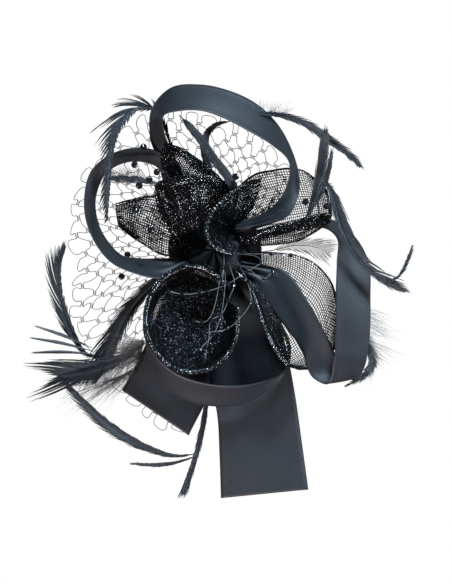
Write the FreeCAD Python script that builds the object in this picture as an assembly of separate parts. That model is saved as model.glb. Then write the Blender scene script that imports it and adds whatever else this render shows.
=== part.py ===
import FreeCAD, Part
import math
import os

# Fascinator headpiece: satin ribbon loops, open-weave petals, feathers, a net veil and beads,
# all gathered on a round felt base that is worn on a sprung hair clip.
#
# Units are millimetres. +Z points out of the wearer's head. The origin is under the centre
# of the base, on the plane where the two jaws of the clip meet. +X is the wearer's side
# with the broad ribbon loop, and +Y is the top of the headpiece.

# ---- driving dimensions --------------------------------------------------------------
JAW_THICKNESS = 0.8         # clip plates
JAW_WIDTH = 8.0
JAW_TIP_X = -24.0           # tip of both jaws
JAW_REAR_X = 14.0           # rear end of the fixed jaw
LEVER_WIDTH = 6.0
LEVER_END_X = 25.0          # thumb end of the lever
HINGE_X = 8.0
HINGE_Z = -3.2
PIN_DIAMETER = 1.6
PIN_CLEARANCE = 0.05        # radial gap between the pin and each ear
EAR_LENGTH = 7.0
EAR_TOP_GAP = 0.2           # side gap between the two pairs of ears
SPRING_WIRE = 0.6
SPRING_TURNS = 4
TURN_OVERLAP = 0.012        # neighbouring turns touch
SPRING_GAP = 0.25           # between the pin and the coil
UPPER_LEG = (6.0, 0.26)     # length and slope of each spring leg
LOWER_LEG = (8.5, -0.24)

LINING_DIAMETER = 60.0
LINING_THICKNESS = 0.5
BASE_DIAMETER = 64.0
BASE_THICKNESS = 2.5
BASE_EDGE = 0.8             # radius of the felt's edge
VEIL_THICKNESS = 0.4
BLOCK_DIAMETER = 44.0       # bound block of ribbon ends, quills and net
BLOCK_TOP_Z = 18.5
BLOCK_EDGE = 2.0            # radius of the block's upper edge
BINDING_THREAD = 1.0
RIBBON_THICKNESS = 0.5
PETAL_THICKNESS = 0.8
FEATHER_THICKNESS = 0.6
STEM_THICKNESS = 0.7
LARGE_BEAD = 4.8
SMALL_BEAD = 3.2

# Heights that follow from the stack on top of the clip.
LINING_Z = JAW_THICKNESS
BASE_Z = LINING_Z + LINING_THICKNESS
VEIL_Z = BASE_Z + BASE_THICKNESS
BLOCK_Z = VEIL_Z + VEIL_THICKNESS

SAME_WAY = 1                # both edges of a ruled face run the same way


# ---- helpers -------------------------------------------------------------------------
def at(point):
    return FreeCAD.Vector(*point)


def save(name, shape):
    shape.exportStep("parts/" + name + ".step")
    print(name, "volume %.1f" % shape.Volume, "valid", shape.isValid())


def box(x0, x1, y0, y1, z0, z1):
    return Part.makeBox(x1 - x0, y1 - y0, z1 - z0, at((x0, y0, z0)))


def closed(points):
    return Part.makePolygon(points + points[:1])


def direction(points, index):
    """Unit vector along a row of points, at one of them."""
    ahead = points[min(index + 1, len(points) - 1)]
    behind = points[max(index - 1, 0)]
    return (ahead - behind).normalize()


def curve_through(points, parameters):
    curve = Part.BSplineCurve()
    curve.interpolate(Points=points, Parameters=parameters)
    return curve.toShape()


def travelled(points):
    """Distance along a row of points, from 0 to 1, at each of them."""
    reached = [0.0]
    for before, after in zip(points, points[1:]):
        reached.append(reached[-1] + (after - before).Length)
    return [distance / reached[-1] for distance in reached]


def solid_from(faces):
    """Closed solid from faces that meet along their edges."""
    skin = Part.makeCompound(faces)
    skin.sewShape()
    solid = Part.makeSolid(Part.makeShell(skin.Faces))
    if solid.Volume < 0:
        solid.reverse()
    return solid


def strip(stations, thickness):
    """Thin band between a near and a far edge, given as pairs of points."""
    pairs = [(at(near), at(far)) for near, far in stations]
    middles = [(near + far) * 0.5 for near, far in pairs]
    corners = [[], [], [], []]
    for index, (near, far) in enumerate(pairs):
        face = direction(middles, index).cross(far - near).normalize() * thickness
        for rail, point in zip(corners, (near, far, far + face, near + face)):
            rail.append(point)
    parameters = travelled(middles)
    rails = [curve_through(rail, parameters) for rail in corners]
    faces = [Part.makeRuledSurface(rails[k], rails[(k + 1) % 4], SAME_WAY) for k in range(4)]
    for end in (0, -1):
        faces.append(Part.Face(closed([rail[end] for rail in corners])))
    return solid_from(faces)


def blade(centre_line, half_widths, thickness=FEATHER_THICKNESS):
    """Flat quill or vane: a centre line and its half width at each point."""
    points = [at(point) for point in centre_line]
    stations = []
    for index, point in enumerate(points):
        along = direction(points, index)
        side = FreeCAD.Vector(-along.y, along.x, 0).normalize() * half_widths[index]
        stations.append((point + side, point - side))
    return strip(stations, thickness)


def surface_through(grid):
    surface = Part.BSplineSurface()
    surface.interpolate(grid)
    return surface


def leaf(rows, thickness=PETAL_THICKNESS):
    """Curved petal: each row of points runs across it, and the rows follow each other."""
    front_grid = [[at(point) for point in row] for row in rows]
    back_grid = []
    for i, row in enumerate(front_grid):
        backs = []
        for j, point in enumerate(row):
            along = direction([other[j] for other in front_grid], i)
            across = direction(row, j)
            backs.append(point + across.cross(along).normalize() * thickness)
        back_grid.append(backs)
    front = surface_through(front_grid)
    back = surface_through(back_grid)
    faces = [front.toShape(), back.toShape()]
    u_low, u_high, v_low, v_high = front.bounds()
    for u in (u_low, u_high):
        faces.append(Part.makeRuledSurface(front.uIso(u).toShape(), back.uIso(u).toShape(), SAME_WAY))
    for v in (v_low, v_high):
        faces.append(Part.makeRuledSurface(front.vIso(v).toShape(), back.vIso(v).toShape(), SAME_WAY))
    return solid_from(faces)


def spray(lines):
    """Stiff bead stems: each is a thin square wire through its points."""
    half = STEM_THICKNESS / 2
    return Part.makeCompound([blade(line, [half] * len(line), STEM_THICKNESS) for line in lines])


def beads(places, diameter):
    return Part.makeCompound([Part.makeSphere(diameter / 2, at(place)) for place in places])


# ---- hair clip -----------------------------------------------------------------------
def ear_pair(inner_y, plate_z, tip_z):
    """Two upright ears with pin holes, reaching from a plate past the hinge axis."""
    x0 = HINGE_X - EAR_LENGTH / 2
    x1 = HINGE_X + EAR_LENGTH / 2
    low = min(plate_z, tip_z)
    high = max(plate_z, tip_z)
    outer_y = inner_y + JAW_THICKNESS
    ears = box(x0, x1, inner_y, outer_y, low, high)
    ears = ears.fuse(box(x0, x1, -outer_y, -inner_y, low, high))
    hole = Part.makeCylinder(PIN_DIAMETER / 2 + PIN_CLEARANCE, 2 * outer_y + 2,
                             at((HINGE_X, -outer_y - 1, HINGE_Z)), at((0, 1, 0)))
    return ears.cut(hole)


OUTER_EAR_Y = JAW_WIDTH / 2 - JAW_THICKNESS
INNER_EAR_Y = OUTER_EAR_Y - EAR_TOP_GAP - JAW_THICKNESS
EAR_REACH = 1.8             # past the hinge axis
LEVER_EAR_Z = -6.4          # where the lever's ears start, inside its plate
JAW_TIP_GAP = 0.05          # the jaws all but touch at the tip
# Top of the lever in side view: a bowed front arm, a knee under the pin and a thumb end.
LEVER_TOP = [(JAW_TIP_X, -JAW_TIP_GAP), (-12, -2.4), (-2, -4.6), (HINGE_X, -6.0), (16, -6.9),
             (LEVER_END_X, -9.0)]
PIN_REACH = JAW_WIDTH / 2 + 0.05
PIN_HEAD = 0.5
STITCH_X = (-17.0, -10.0, -3.0)
STITCH_RADIUS = 0.25
STITCH_OVERHANG = 1.0       # past each side of the jaw


def clip_fixed_jaw():
    """Flat upper plate under the base, with a round tip and a pair of outer ears."""
    half = JAW_WIDTH / 2
    plate = box(JAW_TIP_X + half, JAW_REAR_X, -half, half, 0, JAW_THICKNESS)
    tip = Part.makeCylinder(half, JAW_THICKNESS, at((JAW_TIP_X + half, 0, 0)))
    ears = ear_pair(OUTER_EAR_Y, 0, HINGE_Z - EAR_REACH)
    return plate.fuse(tip).fuse(ears).removeSplitter()


def lever_profile():
    """Side view of the lever's plate, as a face."""
    top = Part.BSplineCurve()
    top.interpolate([at((x, 0, z)) for x, z in LEVER_TOP])
    lower = Part.BSplineCurve()
    lower.interpolate([at((x, 0, z - JAW_THICKNESS)) for x, z in LEVER_TOP[::-1]])
    ends = [Part.makeLine(top.EndPoint, lower.StartPoint),
            Part.makeLine(lower.EndPoint, top.StartPoint)]
    return Part.Face(Part.Wire([top.toShape(), ends[0], lower.toShape(), ends[1]]))


def clip_lever_jaw():
    """Lower jaw that swings on the pin: a bowed plate with inner ears."""
    half = LEVER_WIDTH / 2
    face = lever_profile()
    face.translate(at((0, -half, 0)))
    plate = face.extrude(at((0, LEVER_WIDTH, 0)))
    return plate.fuse(ear_pair(INNER_EAR_Y, LEVER_EAR_Z, HINGE_Z + EAR_REACH)).removeSplitter()


def clip_hinge_pin():
    """Pin through all four ears, with a peened head at each end."""
    along = at((0, 1, 0))
    pin = Part.makeCylinder(PIN_DIAMETER / 2, 2 * PIN_REACH, at((HINGE_X, -PIN_REACH, HINGE_Z)), along)
    for y in (-PIN_REACH - PIN_HEAD, PIN_REACH):
        pin = pin.fuse(Part.makeCylinder(PIN_DIAMETER * 0.75, PIN_HEAD, at((HINGE_X, y, HINGE_Z)), along))
    return pin.removeSplitter()


def clip_spring():
    """Torsion spring on the pin, as stacked rings with a leg towards each plate."""
    radius = PIN_DIAMETER / 2 + SPRING_GAP + SPRING_WIRE / 2
    pitch = SPRING_WIRE - TURN_OVERLAP
    start = -pitch * (SPRING_TURNS - 1) / 2
    coil = None
    for turn in range(SPRING_TURNS):
        ring = Part.makeTorus(radius, SPRING_WIRE / 2, at((HINGE_X, start + turn * pitch, HINGE_Z)),
                              at((0, 1, 0)))
        coil = ring if coil is None else coil.fuse(ring)
    for side, (length, slope) in ((1, UPPER_LEG), (-1, LOWER_LEG)):
        foot = at((HINGE_X, side * start, HINGE_Z + side * radius))
        coil = coil.fuse(Part.makeCylinder(SPRING_WIRE / 2, length, foot, at((1, 0, slope))))
    return coil


def clip_stitches():
    """Thread bars across the fixed jaw that hold it to the lining."""
    reach = JAW_WIDTH / 2 + STITCH_OVERHANG
    stitches = []
    for x in STITCH_X:
        stitch = Part.makeCylinder(STITCH_RADIUS, 2 * reach, at((x, -reach, -STITCH_RADIUS)), at((0, 1, 0)))
        for y in (-reach + STITCH_RADIUS, reach - STITCH_RADIUS):
            stitch = stitch.fuse(Part.makeCylinder(STITCH_RADIUS, LINING_Z + STITCH_RADIUS,
                                                   at((x, y, -STITCH_RADIUS))))
        stitches.append(stitch)
    return Part.makeCompound(stitches)


# ---- base ----------------------------------------------------------------------------
def disc(diameter, z, thickness):
    return Part.makeCylinder(diameter / 2, thickness, at((0, 0, z)))


def felt_base():
    base = disc(BASE_DIAMETER, BASE_Z, BASE_THICKNESS)
    return base.makeFillet(BASE_EDGE, [edge for edge in base.Edges if isinstance(edge.Curve, Part.Circle)])


def base_lining():
    return disc(LINING_DIAMETER, LINING_Z, LINING_THICKNESS)


def root_block():
    """Block of ribbon ends, quills and net, bound together and glued to the felt."""
    block = disc(BLOCK_DIAMETER, BLOCK_Z, BLOCK_TOP_Z - BLOCK_Z)
    top = [edge for edge in block.Edges
           if isinstance(edge.Curve, Part.Circle) and edge.CenterOfMass.z > BLOCK_TOP_Z - BLOCK_EDGE]
    return block.makeFillet(BLOCK_EDGE, top)


def binding_thread():
    """Thread wound round the foot of the root block."""
    return Part.makeTorus(BLOCK_DIAMETER / 2 + BINDING_THREAD / 2, BINDING_THREAD / 2,
                          at((0, 0, BLOCK_Z + BINDING_THREAD / 2)))


def veil_net():
    """Fan of net, as a thin plate with its outline. Its threads are not cut out here."""
    outline = [(-8, 6), (-2, 40), (30, 30), (50, 42), (49, 57), (34, 70), (18, 80), (0, 90),
               (-24, 96), (-46, 93), (-68, 77), (-88, 54), (-100, 31), (-100, 15), (-93, -8),
               (-96, -28), (-98, -46), (-88, -69), (-70, -98), (-61, -103), (-48, -115),
               (-34, -124), (-20, -131), (-12, -100), (-6, -60), (4, -18)]
    face = Part.Face(closed([at((x, y, VEIL_Z)) for x, y in outline]))
    return face.extrude(at((0, 0, VEIL_THICKNESS)))


# ---- satin ribbon --------------------------------------------------------------------
RIBBON_LOOP_TOP = [
    ((-7, 17, 15), (-9, 17, 7)), ((-15, 38, 18), (-22, 35, 8)), ((-25, 60, 25), (-37, 61, 13)),
    ((-33, 78, 36), (-44, 78, 19)), ((-34, 90, 40), (-42, 97, 20)), ((-25, 93, 40), (-31, 109, 21)),
    ((-9, 93, 40), (-10, 112, 23)), ((6, 88, 40), (9, 108, 24)), ((22, 80, 39), (29, 98, 22)),
    ((38, 70, 38), (46, 80, 17)), ((50, 57, 36), (56, 54, 18)), ((47, 40, 29), (56, 36, 25)),
    ((38, 28, 23), (50, 23, 30)), ((26, 21, 19), (33, 16, 27)), ((13, 17, 17.6), (14, 12, 22))]

RIBBON_LOOP_LEFT = [
    ((-17, 11, 14), (-18, 10, 6)), ((-28, 42, 18), (-33, 36, 6)), ((-38, 67, 21), (-39, 57, 7)),
    ((-51, 70, 27), (-51, 61, 8)), ((-69, 66, 31), (-66, 59, 9)), ((-83, 55, 33), (-76, 52, 9)),
    ((-89, 37, 33), (-82, 36, 9)), ((-88, 20, 33), (-81, 21, 9)), ((-80, 2, 32), (-75, 7, 9)),
    ((-68, -11, 31), (-64, -4, 9)), ((-54, -17, 30), (-52, -6, 9)), ((-37, -20, 28), (-35, -6, 9)),
    ((-18, -11, 15), (-18, -5, 8))]

RIBBON_LOOP_RIGHT = [
    ((20, 3, 14), (21, 1, 6)), ((42, 9, 14), (43, 16, 6)), ((60, 13, 19), (62, 20, 6)),
    ((74, 14, 26), (81, 20, 9)), ((82, 7, 36), (93, 11, 17)), ((82, -8, 41), (103, -6, 28)),
    ((81, -34, 42), (105, -34, 34)), ((81, -60, 41), (104, -62, 34)), ((80, -76, 39), (101, -79, 33)),
    ((76, -90, 33), (95, -87, 28)), ((67, -87, 29), (87, -79, 26)), ((58, -67, 27), (77, -61, 30)),
    ((41, -44, 25), (63, -35, 30)), ((28, -26, 23), (48, -15, 27)), ((13, -13, 18), (18, -8, 24))]

RIBBON_LOOP_BOTTOM = [
    ((-12, -17, 15), (-12, -16, 8)), ((-34, -23, 24), (-30, -25, 10)), ((-45, -35, 33), (-41, -36, 12)),
    ((-49, -48, 34), (-44, -50, 13)), ((-47, -63, 34), (-46, -73, 14)), ((-37, -76, 34), (-38, -91, 14)),
    ((-20, -87, 34), (-20, -103, 14)), ((0, -92, 34), (0, -107, 14)), ((20, -92, 34), (20, -106, 13)),
    ((38, -88, 32), (36, -98, 11)), ((50, -81, 26), (48, -83, 10)), ((52, -66, 18), (50, -66, 9)),
    ((40, -42, 16), (38, -42, 9)), ((13, -15, 15), (12, -15, 9))]

RIBBON_TAIL_LONG = [
    ((-2, -19, 7), (14, -16, 7)), ((-7, -40, 6.6), (40, -36, 6.6)), ((-9, -72, 6), (48, -64, 6)),
    ((1, -110, 5), (55, -100, 5)), ((3, -140, 4), (60, -135, 4)), ((4, -170, 3), (64, -164, 3))]

RIBBON_TAIL_SHORT = [
    ((-17, -9, 5.4), (-7, -18, 5.4)), ((-40, -45, 5.1), (-6, -58, 5.1)),
    ((-50, -70, 4.9), (-2, -90, 4.9)), ((-64, -96, 4.8), (-18, -127, 4.8))]


def ribbon(stations):
    return strip(stations, RIBBON_THICKNESS)


# ---- petals of open-weave straw cloth ------------------------------------------------
PETAL_TOP = [
    [(-14, 14, 17.5), (-11, 16, 19), (-6, 17, 20), (0, 16, 19), (5, 14, 17.5)],
    [(-32, 46, 25), (-24, 48, 31), (-14, 48, 34), (-2, 46, 31), (9, 41, 25)],
    [(-37, 60, 29), (-31, 63, 34), (-22, 62, 36), (-12, 59, 33), (-2, 54, 28)],
    [(-36, 68, 33), (-32, 70, 36), (-27, 70, 38), (-22, 68, 36), (-17, 65, 32)]]

PETAL_UPPER_LEFT = [
    [(-16, -1, 18), (-12, 2, 22), (-8, 4, 24), (-5, 6, 22), (-3, 8, 18)],
    [(-30, 12, 22), (-22, 14, 32), (-14, 16, 35), (-8, 18, 30), (-6, 18, 20)],
    [(-38, 28, 24), (-30, 30, 36), (-18, 32, 41), (-4, 32, 38), (2, 30, 26)],
    [(-41, 44, 26), (-33, 47, 38), (-17, 49, 44), (0, 48, 42), (12, 42, 32)]]

PETAL_LEFT = [
    [(-15, -2, 17), (-15, 3, 18), (-14, 8, 18), (-12, 13, 17)],
    [(-34, -4, 15), (-33, 6, 19), (-31, 17, 20), (-28, 28, 17)],
    [(-52, 6, 13), (-51, 14, 18), (-48, 26, 20), (-43, 37, 17)],
    [(-60, 11.5, 13), (-60, 18, 17), (-59, 28, 18), (-57, 34.5, 16)],
    [(-66, 16, 14), (-67, 21, 15), (-68, 27, 15), (-68, 32, 14)]]

PETAL_UPPER_RIGHT = [
    [(6, 18, 19), (10, 17, 17.5), (14, 14, 17.5), (18, 4, 22), (22, 9, 32)],
    [(20, 47, 15), (27, 36, 13), (33, 24, 15), (36, 3, 30), (38, 15, 40)],
    [(40, 55, 12), (45, 42, 10.5), (51, 28, 13), (56, 6, 34), (57, 20, 42)],
    [(59, 55, 12), (63, 42, 10.5), (66, 30, 15), (68, 12, 34), (69, 23, 42)],
    [(76, 42, 15), (78, 36, 15), (79, 30, 18), (78, 19, 33), (79, 25, 38)]]

PETAL_LOWER_RIGHT = [
    [(10, -12, 26), (14, -14, 19), (17, -11, 17), (18, -6, 18), (18, -3, 22)],
    [(24, -27, 42), (30, -30, 28), (38, -22, 19), (44, -10, 19), (44, -2, 24)],
    [(31, -46, 46), (38, -50, 30), (50, -40, 19), (62, -20, 20), (64, -7, 26)],
    [(38, -63, 47), (45, -66, 32), (60, -54, 20), (74, -32, 21), (78, -20, 26)],
    [(46, -75, 46), (52, -77, 34), (66, -68, 22), (78, -50, 22), (83, -36, 25)],
    [(54, -80, 42), (58, -81, 32), (68, -80, 23), (79, -72, 22), (84, -60, 24)]]

# The big cup is a lopsided bowl, and its rows run down its wall from the rim to the root.
CUP_ROWS = 9
CUP_START = 50
CUP_SWEEP = 325
# Rings from the rim to the root: middle, half width, half length and height.
CUP_RINGS = [((-15, -47), 32, 36, 48), ((-14, -46), 29, 32, 37), ((-12, -41), 22, 25, 27),
             ((-6, -15), 6, 6, 17.5)]


def cup_rows():
    rows = []
    for index in range(CUP_ROWS):
        angle = math.radians(CUP_START + CUP_SWEEP * index / (CUP_ROWS - 1))
        rows.append([(middle[0] + half_width * math.cos(angle),
                      middle[1] + half_length * math.sin(angle), z)
                     for middle, half_width, half_length, z in CUP_RINGS])
    return rows


# The centre curl stands round the dark hollow; its rows run down from the rim to the root.
PETAL_CENTRE_CURL = [
    [(31, 49, 27), (29, 40, 24), (26, 30, 21), (17, 20, 17.5)],
    [(16, 42, 43), (17, 34, 35), (17, 25, 27), (15, 19, 17.5)],
    [(5, 33, 48), (8, 27, 41), (11, 21, 30), (12, 16, 17.5)],
    [(-4, 23, 50), (1, 20, 42), (6, 16, 31), (9, 13, 17.5)],
    [(-7, 13, 50), (-1, 12, 42), (5, 11, 31), (8, 9, 17.5)],
    [(-4, 5, 49), (1, 6, 41), (6, 7, 31), (9, 6, 17.5)],
    [(3, -1, 46), (6, 1, 39), (9, 3, 30), (11, 4, 17.5)],
    [(13, -4, 42), (14, -1, 37), (14, 2, 29), (14, 3, 17.5)]]


# ---- feathers: centre line, then half widths -----------------------------------------
FEATHERS = {
    "feather_arch": (
        [(-14, 15, 5.2), (-27, 58, 7.5), (-36, 90, 12), (-42, 100, 16), (-52, 101, 22), (-60, 96, 30),
         (-66, 86, 36), (-70, 73, 40), (-72, 58, 42), (-73, 40, 42), (-73, 17, 41)],
        [0.6, 0.6, 2.6, 5.4, 6.4, 5.6, 4.4, 3.4, 2.8, 2.2, 0.5]),
    "feather_top_right": (
        [(27, 92, 27.5), (44, 92, 24), (62, 86, 23), (77, 75, 22), (90, 66, 23), (99, 56, 23)],
        [0.8, 2, 2.4, 2.2, 1.8, 0.4]),
    "feather_spike": (
        [(60, 15, 27), (65, 28, 29), (69, 40, 31), (73, 60, 34), (75, 81, 34)],
        [0.8, 2.2, 2.4, 1.8, 0.4]),
    "feather_spike_short": (
        [(66, 27, 29.2), (73, 40, 33), (77, 54, 37), (79, 66, 38)],
        [0.5, 1.4, 1.2, 0.4]),
    "feather_sweep_right": (
        [(70, 23, 42.2), (70, 42, 45), (75, 47, 46), (80, 36, 47), (86, 14, 48), (96, -4, 49),
         (110, -18, 48), (129, -29, 46)],
        [0.5, 1.4, 3, 3.2, 2.6, 2.6, 2.6, 0.4]),
    "feather_curled_tip": (
        [(115, -22, 48.4), (124, -18, 49), (129, -9, 48), (133, 3, 48)],
        [0.6, 1.2, 1.4, 0.3]),
    "feather_hook_right": (
        [(92, -46, 38.4), (102, -64, 30), (108, -75, 25), (104, -83, 23), (88, -93, 22)],
        [0.8, 3, 3, 2.2, 0.4]),
    "feather_dark_left": (
        [(-18, -8, 6.4), (-30, -14, 6.6), (-44, -23, 7.2), (-58, -37, 8), (-69, -57, 9), (-77, -77, 10),
         (-83, -92, 10)],
        [1.2, 3, 5, 6.4, 6.4, 4.5, 0.6]),
    "feather_rising_left": (
        [(-17, -12, 7), (-33, -40, 7.6), (-50, -66, 8.6), (-70, -71, 9), (-88, -72, 9.5), (-99, -58, 10),
         (-106, -42, 11), (-109, -27, 12), (-108, -12, 12), (-101.5, 5, 12)],
        [0.6, 0.6, 0.8, 1, 2, 4.4, 5.6, 4.6, 2.8, 0.4]),
    "feather_long_bottom": (
        [(-14, -140, 8), (-28, -141, 8), (-44, -137, 8.5), (-61, -129, 9), (-78, -116, 9.5),
         (-92, -102, 10), (-105, -87, 10)],
        [0.6, 1.6, 3, 3.6, 3, 2, 0.4]),
    "feather_quill_bottom": (
        [(-6, -18, 9), (-6, -60, 9), (-6, -104, 9), (-10, -128, 8.5), (-12, -138, 8), (-17, -153, 8),
         (-22, -168, 8)],
        [0.8, 1, 1.6, 1.8, 1.6, 2, 0.4]),
    "feather_split_bottom": (
        [(-13, -141, 8), (-30, -146, 8), (-44, -147, 8), (-58, -146, 8)],
        [0.4, 1.4, 1.2, 0.3]),
    "feather_fan_left": (
        [(-52, -67, 9), (-70, -77, 11), (-90, -83, 13), (-108, -86, 13)],
        [1, 5, 6, 0.6]),
    "feather_small_left": (
        [(-36, 44, 30), (-50, 47, 30), (-62, 48, 30), (-71, 49, 30)],
        [0.6, 2.6, 2.4, 0.4]),
    "feather_curl_inner": (
        [(-24, 91, 32), (-10, 75, 34), (0, 60, 38), (8, 50, 41), (14, 38, 40), (12, 27, 33), (8, 16, 18)],
        [2.4, 3, 3, 3, 2, 1.2, 1]),
    "feather_hook_inner": (
        [(10, 87, 30), (1, 85, 30), (-6, 78, 29), (-7, 66, 29), (-3, 53, 28)],
        [0.6, 2, 2.8, 2.6, 1.2]),
    "feather_right_inner": (
        [(20, -3, 12), (40, 0, 15), (54, 3, 16), (68, 2, 16), (79, -2, 16)],
        [0.8, 1, 4, 5, 0.6])}

SPIKE_TIPS_LEFT = [(-122, -52), (-125, -60), (-124, -70)]


def feather_spikes_left():
    """Three stripped quills that fan out from one foot."""
    foot = (-84, -69)
    spikes = []
    for index, (x, y) in enumerate(SPIKE_TIPS_LEFT):
        start_y = foot[1] + 2 - 2 * index
        line = [(foot[0], start_y, 10), ((foot[0] + x) / 2, (start_y + y) / 2 + 1, 13), (x, y, 14)]
        spikes.append(blade(line, [0.6, 1.3, 0.3]))
    return Part.makeCompound(spikes)


def down_tuft_left():
    """Soft down at the foot of the left feathers, as two thin pads."""
    upper = blade([(-52, -68, 10), (-62, -75, 12), (-76, -88, 13)], [4, 8, 3], 2.0)
    lower = blade([(-66, -90, 10), (-88, -95, 11), (-112, -98, 12)], [3, 5, 1], 2.0)
    return Part.makeCompound([upper, lower])


# ---- beads on stiff stems ------------------------------------------------------------
STEMS_CENTRE = [
    [(14, -2, 17), (30, -6, 40), (31, -9, 48), (21, -15, 52), (9, -23, 53), (-10, -29, 52), (-22, -30, 50),
     (-31, -28, 49.5)],
    [(8, -8, 17), (11, -14, 40), (13, -24, 50), (9, -34, 52), (4, -44, 52), (-2, -47, 51), (-4, -60, 50),
     (-7, -75, 50)],
    [(15, -8, 17), (22, -22, 40), (24, -36, 49), (17, -46, 50), (9, -53, 50), (-7, -56, 49)],
    [(3, -7, 17), (6, -4, 40), (6, -12, 52), (5, -22, 54)],
    [(18, 0, 17), (26, -3, 44), (38, -3, 48), (51, -4, 48)],
    [(12, -9, 17), (24, -14, 42), (33, -20, 50), (39, -15, 50)],
    [(6, -10, 17), (4, -19, 46), (-9, -49, 50), (-14, -48, 50)],
    [(4, -10, 17), (7, -20, 46), (-1, -57, 50), (-10, -67, 50)]]
STEMS_LEFT = [
    [(-14, 18, 17), (-28, 30, 46), (-44, 46, 47), (-54, 57, 46), (-48, 69, 45)],
    [(-10, 18, 17), (-20, 34, 47), (-35, 51, 48), (-39, 52, 48)],
    [(-16, 12, 17), (-36, 16, 44), (-51, 43, 43)],
    [(-16, 4, 17), (-34, 4, 42), (-44, 14, 36), (-54, 27, 30)]]
STEMS_RIGHT = [
    [(24, 18, 20), (44, 26, 44), (61, 32, 47), (75, 29, 48)],
    [(12, 16, 17), (12, 34, 46), (14, 49, 46)]]

BEADS_LEFT = [(-48, 69, 45), (-54, 57, 46), (-44, 47, 47), (-39, 52, 48), (-34, 51, 48), (-51, 43, 43),
              (-54, 27, 30), (-43, 13, 37)]
BEADS_CENTRE = [(31, -9, 48), (21, -15, 52), (9, -23, 53), (-10, -29, 52), (-22, -30, 50),
                (13, -24, 50), (4, -44, 52), (-2, -48, 51), (-6, -66, 50), (24, -36, 49),
                (9, -53, 50), (-7, -56, 49), (6, -12, 52), (5, -22, 54), (38, -3, 48), (51, -4, 48),
                (-31, -28, 49.5), (-5, -28.2, 52.2), (9, -34, 52), (-7, -75, 50), (22, -22, 40),
                (33, -20, 50), (39, -15, 50), (-9, -49, 50), (-14, -48, 50), (-1, -57, 50),
                (-10, -67, 50)]
BEADS_RIGHT = [(61, 32, 47), (75, 29, 48), (14, 49, 46)]
NET_BEAD_Z = VEIL_Z + LARGE_BEAD / 2
BEADS_NET = [(-60, -3, NET_BEAD_Z), (-64, -18, NET_BEAD_Z)]


# ---- build ---------------------------------------------------------------------------
def main():
    os.makedirs("parts", exist_ok=True)
    save("clip_fixed_jaw", clip_fixed_jaw())
    save("clip_lever_jaw", clip_lever_jaw())
    save("clip_hinge_pin", clip_hinge_pin())
    save("clip_spring", clip_spring())
    save("clip_stitches", clip_stitches())
    save("base_lining", base_lining())
    save("felt_base", felt_base())
    save("root_block", root_block())
    save("binding_thread", binding_thread())
    save("veil_net", veil_net())
    save("ribbon_loop_top", ribbon(RIBBON_LOOP_TOP))
    save("ribbon_loop_left", ribbon(RIBBON_LOOP_LEFT))
    save("ribbon_loop_right", ribbon(RIBBON_LOOP_RIGHT))
    save("ribbon_loop_bottom", ribbon(RIBBON_LOOP_BOTTOM))
    save("ribbon_tail_long", ribbon(RIBBON_TAIL_LONG))
    save("ribbon_tail_short", ribbon(RIBBON_TAIL_SHORT))
    save("petal_top", leaf(PETAL_TOP))
    save("petal_upper_left", leaf(PETAL_UPPER_LEFT))
    save("petal_left", leaf(PETAL_LEFT))
    save("petal_upper_right", leaf(PETAL_UPPER_RIGHT))
    save("petal_lower_right", leaf(PETAL_LOWER_RIGHT))
    save("petal_cup", leaf(cup_rows()))
    save("petal_centre_curl", leaf(PETAL_CENTRE_CURL))
    for name, (centre_line, half_widths) in FEATHERS.items():
        save(name, blade(centre_line, half_widths))
    save("feather_spikes_left", feather_spikes_left())
    save("down_tuft_left", down_tuft_left())
    save("bead_stems_centre", spray(STEMS_CENTRE))
    save("bead_stems_left", spray(STEMS_LEFT))
    save("bead_stems_right", spray(STEMS_RIGHT))
    save("beads_centre", beads(BEADS_CENTRE, SMALL_BEAD))
    save("beads_left", beads(BEADS_LEFT, LARGE_BEAD))
    save("beads_right", beads(BEADS_RIGHT, LARGE_BEAD))
    save("beads_net", beads(BEADS_NET, LARGE_BEAD))


main()
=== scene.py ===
# %% [markdown]
# A fascinator is a small headpiece: satin ribbon loops, petals of open straw cloth, feathers,
# a net veil and beads, all bound on a round felt base that is worn on a sprung hair clip.
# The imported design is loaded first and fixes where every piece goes. Everything is in metres,
# and the control points below are millimetres, so they are multiplied by MM once.

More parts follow.
